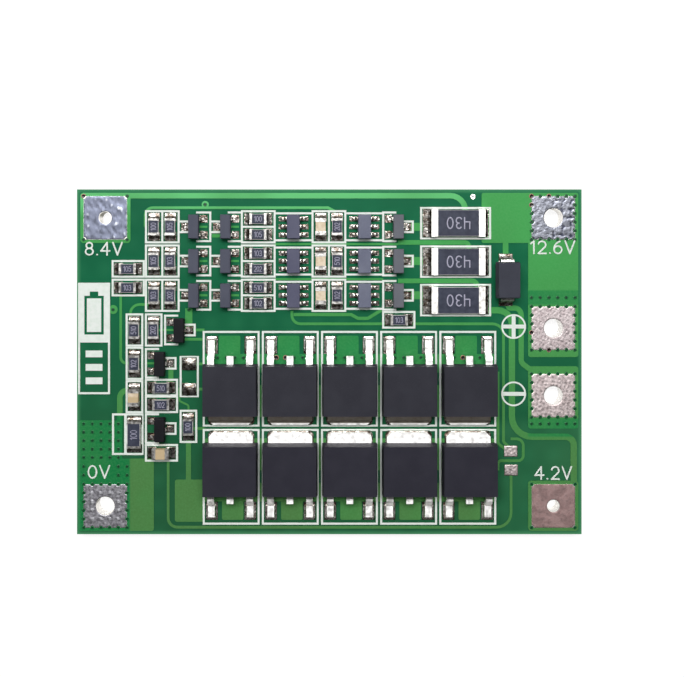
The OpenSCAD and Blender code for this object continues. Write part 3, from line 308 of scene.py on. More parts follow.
def metal_finish(name, bright, dull, roughness, lump_mm, lump, patch=(0.4, 0.65), places=(), streak=1.0,
                 relief=None):
    """Tin or solder: bright metal with duller patches, and a surface that is never quite flat.

    Each of places is a rectangle of the board and the two colours inside it. streak draws the patches out
    along Y. relief is two heights in millimetres: oxide and flux stay below the first, and the metal is
    clean above the second.
    """
    material, tree = finish(name)
    where = shade(tree, "TexCoord")["Object"]
    where = shade(tree, "Mapping", {0: where, 3: (1.0, 1 / streak, 1.0)})[0]
    patches = lumps(tree, where, lump_mm * 2.5, 3.0, patch)
    if relief:
        height = shade(tree, "Attribute", attribute_name="across", attribute_type="GEOMETRY")["Fac"]
        levels = {"Value": height, 1: relief[0], 2: relief[1], 3: 1.0, 4: 0.0}
        sunk = shade(tree, "MapRange", levels, **SMOOTH)[0]
        both = {0: patches, 1: 0.35, 2: sunk}
        patches = shade(tree, "Math", both, operation="MULTIPLY_ADD", use_clamp=True)[0]
    colour = shade(tree, "Mix", {0: patches, 6: linear(bright), 7: linear(dull)}, **COLOURS)[2]
    for place, (clean, tinted) in places:
        there = shade(tree, "Mix", {0: patches, 6: linear(clean), 7: linear(tinted)}, **COLOURS)[2]
        inside = zone(tree, where, *place)
        colour = shade(tree, "Mix", {0: inside, 6: colour, 7: there}, **COLOURS)[2]
    rough = lumps(tree, where, lump_mm * 1.5, 2.0, (0.3, 0.7), (roughness * 0.8, roughness * 1.25))
    close(tree, colour, rough, grain(tree, where, lump, 0.05, lump_mm), Metallic=1.0)
    return material


def lining_finish():
    """Solder that lines a plated hole: bright and smooth, with painted shade on the north-west of the wall,
    where the north light doesn't reach.
    """
    material, tree = finish("solder_lining_of_a_plated_hole")
    where = shade(tree, "TexCoord")["Object"]
    towards = {0: shade(tree, "NewGeometry")["Normal"], 1: (0.5, -0.87, 0.0)}
    facing = shade(tree, "VectorMath", towards, operation="DOT_PRODUCT")["Value"]
    # Dark olive painted shade on the part of the wall that faces south-east, away from the light
    painted_wall_shade = shade(tree, "MapRange", {"Value": facing, 1: 0.5, 2: 0.85}, **SMOOTH)[0]
    cloud = shade(tree, "TexNoise", {"Vector": where, "Scale": 1 / (0.5 * MM), "Detail": 3.0})[0]
    tone = shade(tree, "Mix", {0: cloud, 6: linear("#f6f4f0"), 7: linear("#dcd8d2")}, **COLOURS)[2]
    colour = shade(tree, "Mix", {0: painted_wall_shade, 6: tone, 7: linear("#6d6a58")}, **COLOURS)[2]
    close(tree, colour, 0.4, Metallic=1.0)
    return material


def moulding_finish(name, colour, lighter):
    """Filled black epoxy from a matt mould: a fine grain, and faint cloudy patches.

    The mould's real grain is finer than a pixel here, and is drawn as coarse as it needs to show.
    """
    material, tree = finish(name)
    where = shade(tree, "TexCoord")["Object"]
    grain_mm = 0.12
    base = mottle(tree, where, colour, lighter, 2.5, 2.0, (0.3, 0.75), 0.6)
    base = mottle(tree, where, base, lighter, grain_mm, 1.0, (0.55, 0.8), 0.5)
    close(tree, base, 0.55, grain(tree, where, 0.25, 0.02, grain_mm), Specular_IOR_Level=0.1)
    return material


def glaze_finish():
    """Fired glass glaze on a chip resistor: dark, smooth and a little glossy."""
    material, tree = finish("fired_resistor_glaze")
    where = shade(tree, "TexCoord")["Object"]
    base = mottle(tree, where, setting("glaze_colour"), linear("#494d5d"), 0.8, 2.0, (0.3, 0.7))
    close(tree, base, 0.4, grain(tree, where, 0.2, 0.01, 0.3), Specular_IOR_Level=0.12)
    return material


def ceramic_finish(name, colour, darker, place=None, there=None):
    """Fired ceramic: matt, with a fine even grain.

    place is a rectangle of the board, and there is the ceramic's colour inside it.
    """
    material, tree = finish(name)
    where = shade(tree, "TexCoord")["Object"]
    base = mottle(tree, where, linear(colour), linear(darker), 0.4, 3.0, (0.3, 0.7))
    if place:
        inside = zone(tree, where, *place)
        base = shade(tree, "Mix", {0: inside, 6: base, 7: linear(there)}, **COLOURS)[2]
    close(tree, base, 0.5, grain(tree, where, 0.2, 0.01, 0.08), Specular_IOR_Level=0.3)
    return material


def resistor_mark_finish(name, colour):
    """Printed mark on glaze: opaque ink, broken where it wore off."""
    material, tree = finish(name)
    where = shade(tree, "TexCoord")["Object"]
    base = mottle(tree, where, linear(colour), linear("#8f8da6"), 0.15, 2.0, (0.35, 0.7), 0.4)
    close(tree, base, 0.55, Specular_IOR_Level=0.3)
    return material


def via_finish(name, middle, rim, level):
    """A plated hole: dark in the middle, and the rim's colour from that share of the way out."""
    material, tree = finish(name)
    out = shade(tree, "Attribute", attribute_name="across", attribute_type="GEOMETRY")["Fac"]
    levels = {"Value": out, 1: level, 2: level + 0.25}
    outer = shade(tree, "MapRange", levels, **SMOOTH)[0]
    base = shade(tree, "Mix", {0: outer, 6: linear(middle), 7: linear(rim)}, **COLOURS)[2]
    close(tree, base, 0.35, Specular_IOR_Level=0.3)
    return material


def paper_finish():
    """White paper: it glows to the camera and in gloss, keeps a shadow, and is clear from below."""
    material, tree = finish("white_paper")
    where = shade(tree, "TexCoord")["Object"]
    glow_strength, fibre_mm = 0.85, 3.0
    fibre = shade(tree, "TexNoise", {"Vector": where, "Scale": 1 / (fibre_mm * MM), "Detail": 2.0})[0]
    tone = shade(tree, "Mix", {0: fibre, 6: linear("#8f8f8f"), 7: linear("#959595")}, **COLOURS)[2]
    matt = shade(tree, "BsdfDiffuse", {"Color": tone})[0]
    strength = shade(tree, "Math", {0: looked_at(tree), 1: glow_strength}, operation="MULTIPLY")[0]
    glow = shade(tree, "Emission", {"Strength": strength})[0]
    both = shade(tree, "AddShader", {0: matt, 1: glow})[0]
    # From below, the paper lets the underside of the board be seen
    below = shade(tree, "NewGeometry")["Backfacing"]
    clear = shade(tree, "BsdfTransparent")[0]
    surface = shade(tree, "MixShader", {0: below, 1: both, 2: clear})[0]
    shade(tree, "OutputMaterial", {"Surface": surface})
    return material


def felt_finish(strength, high):
    """Brown felt that turns grey towards the ceiling: gloss on the board shows it as dim warm shadow."""
    material, tree = finish("brown_felt")
    height = shade(tree, "SeparateXYZ", {0: shade(tree, "TexCoord")["Object"]})["Z"]
    up = shade(tree, "MapRange", {"Value": height, 1: 0.05, 2: high}, **SMOOTH)[0]
    felt = shade(tree, "Mix", {0: up, 6: linear("#5c4a3e"), 7: linear("#8a8a8c")}, **COLOURS)[2]
    dim = shade(tree, "Emission", {"Color": felt, "Strength": strength})[0]
    shade(tree, "OutputMaterial", {"Surface": dim})
    return material


def looked_at(tree):
    """One for what the camera, gloss or clear material looks at, and zero for light that falls on things."""
    path = shade(tree, "LightPath")
    seen = shade(tree, "Math", {0: path["Is Camera Ray"], 1: path["Is Glossy Ray"]}, operation="MAXIMUM")[0]
    return shade(tree, "Math", {0: seen, 1: path["Is Transmission Ray"]}, operation="MAXIMUM")[0]


# Marks

def bend(cx, cy, rx, ry, start, stop, count=15):
    """Points on an ellipse's arc, between two angles in degrees."""
    turn = np.radians(np.linspace(start, stop, count))
    return np.stack([cx + rx * np.cos(turn), cy + ry * np.sin(turn)], 1)


def line(*points):
    """The two or more points of a straight stroke."""
    return np.array(points, float)


# Points along each stroke of a mark
POINTS = 17
# Each sign is its width and its strokes, on a height of 1. Y is a four with an open top
SIGNS = {
    "0": (0.62, [bend(0.31, 0.5, 0.31, 0.5, 90, 450, 25)]),
    "1": (0.34, [line((0.04, 0.8), (0.28, 1)), line((0.28, 1), (0.28, 0))]),
    "2": (0.62, [np.vstack([bend(0.31, 0.7, 0.29, 0.3, 165, -35), line((0.02, 0))]),
                 line((0.02, 0), (0.62, 0))]),
    "3": (0.6, [bend(0.28, 0.75, 0.26, 0.25, 150, -90), bend(0.28, 0.26, 0.31, 0.26, 90, -150)]),
    "4": (0.68, [line((0.48, 1), (0, 0.32)), line((0, 0.32), (0.68, 0.32)), line((0.48, 1), (0.48, 0))]),
    "Y": (0.56, [line((0, 1), (0, 0.4)), line((0, 0.4), (0.56, 0.4)), line((0.56, 1), (0.56, 0))]),
    "5": (0.6, [line((0.54, 1), (0.1, 1)), line((0.1, 1), (0.04, 0.56)),
                bend(0.28, 0.32, 0.31, 0.32, 130, -150)]),
    "6": (0.62, [bend(0.31, 0.3, 0.3, 0.3, 90, 450, 25), bend(0.62, 0.36, 0.61, 0.64, 105, 180)]),
    "8": (0.62, [bend(0.31, 0.76, 0.24, 0.24, 90, 450, 25), bend(0.31, 0.27, 0.3, 0.27, 90, 450, 25)]),
    "V": (0.72, [line((0, 1), (0.36, 0)), line((0.36, 0), (0.72, 1))]),
    ".": (0.1, [line((0.04, 0.03), (0.06, 0.03))]),
}


def written(text, height, gap, width):
    """The strokes of a text, centred and drawn out to that width, each as points spaced evenly along it."""
    strokes, x = [], 0.0
    for sign in text:
        size, lines = SIGNS[sign]
        strokes += [path + (x, 0) for path in lines]
        x += size + gap
    full = x - gap
    even = []
    for path in strokes:
        gone = np.concatenate([[0], np.cumsum(np.hypot(*np.diff(path, axis=0).T))])
        at = np.linspace(0, gone[-1], POINTS)
        even.append(np.stack([np.interp(at, gone, path[:, k]) for k in range(2)], 1))
    return (np.array(even) - (full / 2, 0.5)) * (width / full, height)


def ribbons(paths, place, line_w, thick):
    """Flat printed lines with round ends and a slightly domed top.

    Across each line the section is a half ellipse on a flat base. The half width shrinks to nothing over a
    quarter circle past both ends. place is the x, y and z of the middle, and a turn in degrees.
    """
    heading = np.gradient(paths, axis=1)
    heading /= np.linalg.norm(heading, axis=2, keepdims=True)
    lead = np.sin(np.linspace(0, math.pi / 2, 5)[:-1])
    before = paths[:, :1] - heading[:, :1] * (1 - lead)[None, :, None] * line_w / 2
    after = paths[:, -1:] + heading[:, -1:] * (1 - lead[::-1])[None, :, None] * line_w / 2
    spine = np.concatenate([before, paths, after], 1)
    first, last = (np.repeat(heading[:, [end]], len(lead), 1) for end in (0, -1))
    facing = np.concatenate([first, heading, last], 1)
    cap = np.sqrt(np.clip(1 - (1 - lead) ** 2, 0.01, 1))
    half = np.concatenate([cap, np.ones(paths.shape[1]), cap[::-1]]) * line_w / 2
    side = np.stack([-facing[..., 1], facing[..., 0]], -1)
    out = np.array([-1.0, -0.75, 0.0, 0.75, 1.0, 0.0])
    up = np.array([0.0, 0.8, 1.0, 0.8, 0.0, -0.3]) * thick
    flat = spine[:, :, None] + side[:, :, None] * (half[None, :, None] * out[None, None])[..., None]
    x, y, z, turn = place
    c, s = math.cos(math.radians(turn)), math.sin(math.radians(turn))
    east, north = flat[..., 0] * c - flat[..., 1] * s + x, flat[..., 0] * s + flat[..., 1] * c + y
    return np.stack([east, north, np.broadcast_to(up, east.shape) + z], -1)


def lathe(profile, places, around=12):
    """Copies of a turned shape: a profile of radius and height, carried round an upright line."""
    turn = np.linspace(0, 2 * math.pi, around, endpoint=False)
    r, z = np.array(profile, float).T[:, :, None]
    grid = np.stack([r * np.cos(turn), r * np.sin(turn), np.broadcast_to(z, (len(z), around))], -1)
    return grid[None] + np.array(places, float)[:, None, None]


# Settings

class BoardFinish(bpy.types.PropertyGroup):
    """Sizes and colours of the board's finish"""
    mask_ripple: FloatProperty(
        name="Mask ripple", description="Strength of the mask's ripple", default=0.25, min=0, max=1)
    laminate_colour: FloatVectorProperty(
        name="Mask on laminate", description="Mask over bare laminate, towards the north edge",
        default=linear("#17714b"), size=4, min=0, max=1, subtype="COLOR")
    copper_colour: FloatVectorProperty(
        name="Mask on copper", description="Mask over the upper copper, towards the north edge",
        default=linear("#4cad5b"), size=4, min=0, max=1, subtype="COLOR")
    ink_colour: FloatVectorProperty(
        name="Ink", description="Printed outlines and voltage marks",
        default=linear("#f4faf4"), size=4, min=0, max=1, subtype="COLOR")
    upper_body_colour: FloatVectorProperty(
        name="Upper bodies", description="Moulding of the upper power transistors",
        default=linear("#31313a"), size=4, min=0, max=1, subtype="COLOR")
    lower_body_colour: FloatVectorProperty(
        name="Lower bodies", description="Moulding of the lower power transistors",
        default=linear("#2e2d38"), size=4, min=0, max=1, subtype="COLOR")
    glaze_colour: FloatVectorProperty(
        name="Resistor glaze", description="Glaze on the chip resistors",
        default=linear("#3d4050"), size=4, min=0, max=1, subtype="COLOR")
    via_radius: FloatProperty(
        name="Via radius", description="Radius of a covered hole", default=0.21 * MM, unit="LENGTH")
    voltage_height: FloatProperty(
        name="Voltage mark height", description="Height of the marks at the terminals",
        default=1.46 * MM, unit="LENGTH")
    voltage_line: FloatProperty(
        name="Voltage mark line", description="Line width of the marks at the terminals",
        default=0.21 * MM, unit="LENGTH")
    code_height: FloatProperty(
        name="Resistor number height", description="Height of the numbers on the large resistors",
        default=1.3 * MM, unit="LENGTH")


class BoardStage(bpy.types.PropertyGroup):
    """Light of the stage"""
    lamp: FloatProperty(name="Soft box", description="Power of the soft box", default=0.64, unit="POWER")
    gloss: FloatProperty(
        name="Gloss box", description="Power of the box that shows only in gloss", default=2.0, unit="POWER")
    sky: FloatProperty(name="Sky", description="Strength of the even light", default=0.25)
    ceiling: FloatProperty(
        name="Dark room", description="Brightness of the dark room in gloss", default=0.35)


# Operators

class BOARD_OT_mask(bpy.types.Operator):
    """Finishes the laminate, the covered copper and the printed outlines"""
    bl_idname = "board.mask"
    bl_label = "Mask and legend"

    def execute(self, context):
        paint(laminate_finish(), "laminate")
        # The film is deeper green among close holes and at the upper leads, and palest on the top bus
        zones = [
            (WEST, WEST + 6.3, SOUTH, NORTH - 26.9, linear("#1a8046")),
            (EAST - 45, EAST - 10, NORTH - 22.5, NORTH - 17, linear("#2f9250")),
            (EAST - 6.4, EAST, NORTH - 13.7, NORTH - 12, linear("#2a9050")),
            (EAST - 6.4, EAST, SOUTH + 11.6, SOUTH + 13.8, linear("#24874b")),
            (WEST - 3, EAST - 14, NORTH - 2.6, NORTH + 3, 2.0, linear("#6dd383")),
        ]
        tones = linear("#54874b"), setting("copper_colour"), linear("#489a50")
        paint(copper_mask_finish("solder_mask_on_copper", *tones, zones), "top_copper")
        lower_tones = linear("#479a55"), linear("#4ea45c"), linear("#3f9250")
        paint(copper_mask_finish("solder_mask_on_lower_copper", *lower_tones), "bottom_copper")
        paint(ink_finish(), "legend")
        return {"FINISHED"}


def side_steps(name):
    """Distances of the covered holes along a side, from the terminal's middle, in millimetres.

    The side has one space between holes on the taps, and five on the other terminals.
    """
    spaces = 1 if name in TAPS else 5
    side = (SIZES[name][1].x - SIZES[name][0].x) / MM
    return side * (np.arange(spaces + 1) / spaces - 0.5)


def side_holes(steps):
    """Middles of the covered holes along a terminal's four sides, from its own middle."""
    edge = steps[-1]
    return np.array([p for s in steps for p in [(s, edge), (s, -edge), (edge, s), (-edge, s)]])


class BOARD_OT_vias(bpy.types.Operator):
    """Adds the plated holes, covered and open"""
    bl_idname = "board.vias"
    bl_label = "Plated holes"

    def execute(self, context):
        radius = setting("via_radius") / MM
        # Rows of holes beside the terminals, counted from a terminal's middle, in millimetres
        above_plus, below_minus, above_zero, first_row = 3.64, -3.36, (3.65, 4.68), 5.75
        # Holes between a power transistor's leads, counted from its body's middle
        lead_row, lead_steps = 3.68, (-1.65, -0.57, 0.44, 1.45)
        around = []
        for name in TERMINALS:
            around += [*(centre(name) + side_holes(side_steps(name)))]
        names = ("plus", "minus", "0v", "12v6", "8v4")
        plus, minus, zero, cell, tap = (centre("terminal_" + name) for name in names)
        steps = side_steps("terminal_plus")
        around += [plus + (s, above_plus) for s in steps] + [minus + (s, below_minus) for s in steps]
        around += [zero + (s, first_row + row) for s in steps[:5] for row in range(5)]
        around += [zero + (s, y) for s in (steps[0], steps[4], steps[5]) for y in above_zero]
        leads = [centre(f"upper_power_transistor_{i}_body") for i in range(1, 6)]
        around += [at + (x, lead_row) for at in leads for x in lead_steps]
        tap_edge = side_steps("terminal_8v4")[-1]
        opened = [tap + (-tap_edge, tap_edge),
                  cell + (steps[0], steps[5]), cell + (steps[2], steps[5]), cell + (steps[0], steps[4]),
                  plus + (steps[0], steps[2]), plus + (steps[2], steps[0]),
                  *[leads[i] + (lead_steps[k], lead_row) for i, k in ((1, 0), (1, 1), (4, 1))]]
        around, opened = np.unique(np.round(around, 3), axis=0), np.round(opened, 3)
        # A hole in both lists is open
        shut = [p for p in around if np.hypot(*(opened - p).T).min() > 0.1]
        shut += [np.array([WEST, NORTH]) + p for p in ((15.23, -1.8), (4.3, -14.3), (13.3, -14.3))]
        # Profiles of radius and height over the copper: mask that sank into a hole, and a bare copper rim
        dish = [(0.01, -0.02), (radius, -0.02), (radius * 1.1, 0.004), (radius * 0.8, 0.014),
                (radius * 0.45, 0.008), (0.01, 0.006)]
        well = [(0.01, -0.02), (0.28, -0.02), (0.3, 0.006), (0.26, 0.03), (0.2, 0.03),
                (0.17, 0.012), (0.01, 0.01)]
        sunk_mask = via_finish("mask_sunk_in_a_via", "#0b4527", "#257a45", 0.5)
        # The open via's near-black middle is painted shade: a cap painted dark for the depth of the open
        # hole
        bare_rim_round_painted_dark_hole = via_finish("bare_copper_round_an_open_via", "#050303", "#c08a78", 0.62)
        for name, profile, places, colours in [
            ("covered_vias", dish, shut, sunk_mask),
            ("open_vias", well, opened, bare_rim_round_painted_dark_hole),
        ]:
            grids = lathe(profile, [(x, y, COPPER_TOP) for x, y in places])
            out = np.array([p[0] for p in profile]) / max(p[0] for p in profile)
            values = np.broadcast_to(out[None, :, None], grids.shape[:-1])
            shell(name, grids, colours, values=values)
        return {"FINISHED"}


def outline(turn, half, bite_r=0.0, steps=()):
    """How far a terminal reaches from its middle at each angle.

    That is to its straight side, or to the near side of a round bite where the angle meets one.
    """
    ray = np.stack([np.cos(turn), np.sin(turn)], -1)
    reach = (np.array(half) / np.maximum(np.abs(ray), 1e-9)).min(-1)
    if bite_r:
        middles = side_holes(steps)
        along = ray @ middles.T
        off = ray[:, :1] * middles[:, 1] - ray[:, 1:] * middles[:, 0]
        near = along - np.sqrt(np.clip(bite_r**2 - off**2, 0, None))
        reach = np.minimum(reach, np.where((np.abs(off) < bite_r) & (along > 0), near, np.inf).min(1))
    return reach


def waves(x, y, short, long, seed, stretch=1.0):
    """Uneven ripples: seeded sine waves of mixed length and direction, drawn out along Y by stretch.

    Long waves are higher. The sum is divided so that its root mean square is about 0.7.
    """
    count = 28
    draw = np.random.default_rng(seed)
    length = draw.uniform(short, long, count)
    heading, phase = draw.uniform(0, 2 * math.pi, (2, count))
    height = length / length.max()
    path = (x[..., None] * np.cos(heading) + y[..., None] * np.sin(heading) / stretch) * 2 * math.pi / length
    return (height * np.sin(path + phase)).sum(-1) / np.sqrt((height**2).sum())


def tin_skin(name, middle, half, hole, relief, material, bite_r=0.0, steps=(), around=288, rows=30):
    """Tin frozen on a flat terminal: straight rays from the hole's rim out to the outline.

    It swells over the first 0.15 mm and sinks again at the outline, each time as a quarter circle. The
    relief lies on top, and a flat underside inside the terminal closes it.
    """
    swell_mm, thick, thinnest, sunk, underside = 0.15, 0.025, 0.008, 0.005, 0.02
    turn = np.linspace(0, 2 * math.pi, around, endpoint=False)
    reach = outline(turn, half, bite_r, steps)
    out = np.linspace(0, 1, rows)[:, None]
    radius = hole + out * (reach - hole)
    x, y = radius * np.cos(turn), radius * np.sin(turn)
    open_hole = hole > 0.05
    rim = np.minimum(radius - hole, reach - radius) if open_hole else reach - radius
    swell = np.sqrt(np.clip(1 - (1 - np.clip(rim / swell_mm, 0, 1)) ** 2, 0, 1))
    height = relief(x, y)
    top = np.stack([x, y, swell * np.maximum(thick + height, thinnest) - sunk], -1)
    low = top[[-1, 0]].copy()
    low[..., 2] = -underside
    grids = np.concatenate([top, low])[None] + (*middle, LAND_TOP)
    values = np.concatenate([height, height[[-1, 0]]])
    return shell(name, grids, material, ring=open_hole, values=values)


def studs(x, y, wide):
    """Flat domes over a terminal's filled holes, which stand on a square grid: exp(-(d / wide)^4).

    d is the distance from the nearest grid point, the cube root of a sum of cubes, which squares a dome off.
    """
    steps = side_steps("terminal_0v")
    pitch = np.diff(steps)[0]
    u, v = ((p - steps[0]) / pitch for p in (x, y))
    off = (np.abs(u - np.round(u)) ** 3 + np.abs(v - np.round(v)) ** 3) ** (1 / 3) * pitch
    return np.exp(-((off / wide) ** 4))


def dents(x, y):
    """Tin on the 12.6 V terminal: flat at the filled holes, and dents between them that deepen eastwards."""
    eastward = 0.5 + 0.5 * np.tanh(2 * x + 0.6)
    return 0.03 - 0.03 * (1 - studs(x, y, 0.47)) * eastward + 0.008 * waves(x, y, 0.25, 0.8, 5)


class BOARD_OT_terminals(bpy.types.Operator):
    """Gives the wire terminals and the link lands their uneven tin"""
    bl_idname = "board.terminals"
    bl_label = "Wire terminals"

    def execute(self, context):
        # Thick tin froze in streaks and lumps: its crests gleam, and oxide keeps its hollows dark
        uneven = metal_finish("uneven_dipped_tin", "#e3e6ed", "#646877", 0.45, 0.2, 0.35, (0.35, 0.65),
                              streak=3.0, relief=(0.006, 0.024))
        lumpy = metal_finish("lumpy_dipped_tin", "#7d7f87", "#383a47", 0.45, 0.2, 0.4,
                             relief=(-0.004, 0.016))
        grey = metal_finish("grey_dipped_tin", "#bcbcc0", "#8c8a90", 0.5, 0.2, 0.25, relief=(-0.02, 0.04))
        # A thin coat lies flat and matt, and the copper below warms it
        thin = metal_finish("thin_tin_over_copper", "#b8aeae", "#a39798", 0.52, 0.2, 0.2)
        duller = metal_finish("duller_tin_over_copper", "#c2b6b5", "#afa2a1", 0.52, 0.2, 0.2)
        mauve = metal_finish("mauve_tin_over_copper", "#9c8482", "#8a7472", 0.7, 0.3, 0.12)
        lining = lining_finish()
        # Radius of each stated bore, found by its middle to 0.1 mm
        bores = [mount for mount in frame["record"]["mounts"] if mount["kind"] == "bore"]
        middles = [tuple(np.round(np.array(bore["pos_m"][:2]) / MM, 1)) for bore in bores]
        holes = {place: bore["dims"]["r_mm"] for place, bore in zip(middles, bores)}
        reliefs = {
            "terminal_8v4": (uneven, lambda x, y: 0.011 * waves(x, y, 0.35, 1.3, 3, 1.6)),
            "terminal_12v6": (lumpy, dents),
            "terminal_0v": (grey, lambda x, y: 0.028 * studs(x, y, 0.2) + 0.006 * waves(x, y, 0.25, 0.9, 7)),
            "terminal_plus": (thin, lambda x, y: 0.005 * waves(x, y, 0.2, 0.5, 11)),
            "terminal_minus": (duller, lambda x, y: 0.005 * waves(x, y, 0.2, 0.5, 13)),
            "terminal_4v2": (mauve, lambda x, y: 0.004 * waves(x, y, 0.3, 1.6, 17)),
        }
        for name, (material, relief) in reliefs.items():
            paint(lining, name)
            middle, steps = centre(name), side_steps(name)
            # The skin starts just outside the hole, so that the bore stays clear
            hole = holes[tuple(np.round(middle, 1))] + 0.02
            bite_r = 0.3 if name in TAPS else 0.23
            half = (steps[-1], steps[-1])
            tin_skin(name + "_tin", middle, half, hole, relief, material, bite_r, steps)
        # The link lands are those in the south-east, from 8 mm west of the plus terminal's middle
        link_west, link_north, no_hole = centre("terminal_plus")[0] - 8, -8, 0.01
        lands = solids("solder_lands")
        links = [(low, high) for low, high in lands if low[0] > link_west and high[1] < link_north]
        for count, (low, high) in enumerate(links, 1):
            middle, half = (low + high)[:2] / 2, (high - low)[:2] / 2
            tin_skin(f"link_land_tin_{count}", middle, half, no_hole,
                     lambda x, y: 0.008 * waves(x, y, 0.2, 0.5, 19), duller,
                     around=64, rows=12)
        return {"FINISHED"}


class BOARD_OT_solder(bpy.types.Operator):
    """Finishes the lands and the solder on them"""
    bl_idname = "board.solder"
    bl_label = "Lands and solder"

    def execute(self, context):
        # Tin on the small lands is glossy and mottled brown, and white on the round camera mark up north
        mark = (16.4, 17.7, 19.1, 20.3)
        lands = metal_finish("dipped_tin_on_lands", "#b9b2ab", "#67594f", 0.26, 0.22, 0.9, (0.4, 0.56),
                             [(mark, ("#fdfbf8", "#f1ebe6"))])
        paint(lands, "solder_lands")
        # Solder round the power transistors is painted white as a painted highlight for the north light that
        # their wide joints face, and the small parts' solder is mottled
        beside, beyond = 4, 7
        west, low = centre("lower_power_transistor_1_body") - (beside, beyond)
        east, high = centre("upper_power_transistor_5_body") + (beside, beyond)
        joints = metal_finish("reflowed_solder", "#95918d", "#4f463e", 0.3, 0.2, 0.7, (0.42, 0.6),
                              [((west, east, low, high), ("#f2efeb", "#b9afa6"))])
        paint(joints, "solder_joints")
        return {"FINISHED"}


class BOARD_OT_power_transistors(bpy.types.Operator):
    """Finishes the power transistors' bodies and lead frames"""
    bl_idname = "board.power_transistors"
    bl_label = "Power transistors"

    def execute(self, context):
        # The upper row's tabs carry the body's shadow as a painted brown strip beside the clean white rim at
        # their ends, and are faintly tinted beyond it
        end = SIZES["upper_power_transistor_1_leads"][0].y / MM
        painted_shadow_strip = (WEST, EAST, end + TAB_RIM, end + TAB_SHADOW_END, 0.08), ("#7d756b", "#746c62")
        tinted = (WEST, EAST, end + TAB_SHADOW_END, end + TAB_REACH, 0.08), ("#fbefdf", "#efe0cd")
        # The upper row's plating is a little glossier than the lower row's
        for row, roughness, places, lighter in [
            ("upper", 0.48, [painted_shadow_strip, tinted], "#3a3a43"),
            ("lower", 0.58, [], "#363540"),
        ]:
            names = [name for name in frame["nodes"] if name.startswith(row + "_power_transistor")]
            bodies = [name for name in names if name.endswith("body")]
            colour = setting(row + "_body_colour")
            paint(moulding_finish(f"matt_black_epoxy_{row}", colour, linear(lighter)), *bodies)
            soften(bodies, 0.08)
            tin = metal_finish(f"matt_tin_on_the_{row}_lead_frames", "#fbfaf8", "#efedea", roughness,
                               0.3, 0.04, places=places)
            paint(tin, *[name for name in names if name.endswith("leads")])
        return {"FINISHED"}


class BOARD_OT_small_parts(bpy.types.Operator):
    """Finishes the small transistors, chips, capacitors and the diode"""
    bl_idname = "board.small_parts"
    bl_label = "Small parts"

    def execute(self, context):
        # Each kind of small part has its own epoxy, from deep black to pale grey
        channels = (1, 2, 3)
        for name, colour, lighter, nodes in [
            ("grey_black_epoxy", "#505362", "#5a5d6c", ["sense_transistors", "switch_transistors"]),
            ("brown_black_epoxy", "#6b6d76", "#74777f", ["bleed_transistors"]),
            ("deep_black_epoxy", "#15151a", "#202026", ["logic_transistors"]),
            ("speckled_grey_epoxy_balance", "#5a5b72", "#67687d", [f"balance_chip_{i}" for i in channels]),
            ("speckled_grey_epoxy_protection", "#6e7286", "#848899",
             [f"protection_chip_{i}" for i in channels]),
            ("dark_diode_epoxy", "#3b3d48", "#454753", ["diode_body"]),
        ]:
            paint(moulding_finish(name, linear(colour), linear(lighter)), *nodes)
            soften(nodes, 0.06)
        soften(["six_leg_chip_legs"], 0.06)
        # Small tinned metal is bright with brown patches of flux, and the wide end caps are cleaner
        legs = metal_finish("tinned_legs", "#dad6d1", "#7e756e", 0.3, 0.14, 0.5, (0.42, 0.58))
        paint(legs, "three_leg_transistor_legs", "six_leg_chip_legs")
        caps = metal_finish("tinned_end_caps", "#cccac6", "#918e8a", 0.36, 0.15, 0.3, (0.45, 0.62))
        paint(caps, "diode_leads", "resistor_caps", "capacitor_caps", "long_resistor_caps")
        wide_caps = metal_finish("wide_tinned_end_caps", "#f1efeb", "#d5d2cb", 0.42, 0.2, 0.12, (0.45, 0.7))
        paint(wide_caps, *[f"bleed_resistor_{i}_caps" for i in channels])
        alumina = ceramic_finish("white_alumina", "#efeeea", "#dddbd5")
        bleeds = [f"bleed_resistor_{i}_ceramic" for i in channels]
        paint(alumina, "resistor_ceramics", "long_resistor_ceramic", *bleeds)
        # The capacitors in the south-west are darker than the others
        south_west = (WEST, -5, SOUTH, -4)
        titanate = ceramic_finish("tan_titanate", "#f3e2c8", "#e2cba8", south_west, "#d3bb92")
        paint(titanate, "capacitor_bodies")
        paint(glaze_finish(), "resistor_glazes")
        return {"FINISHED"}


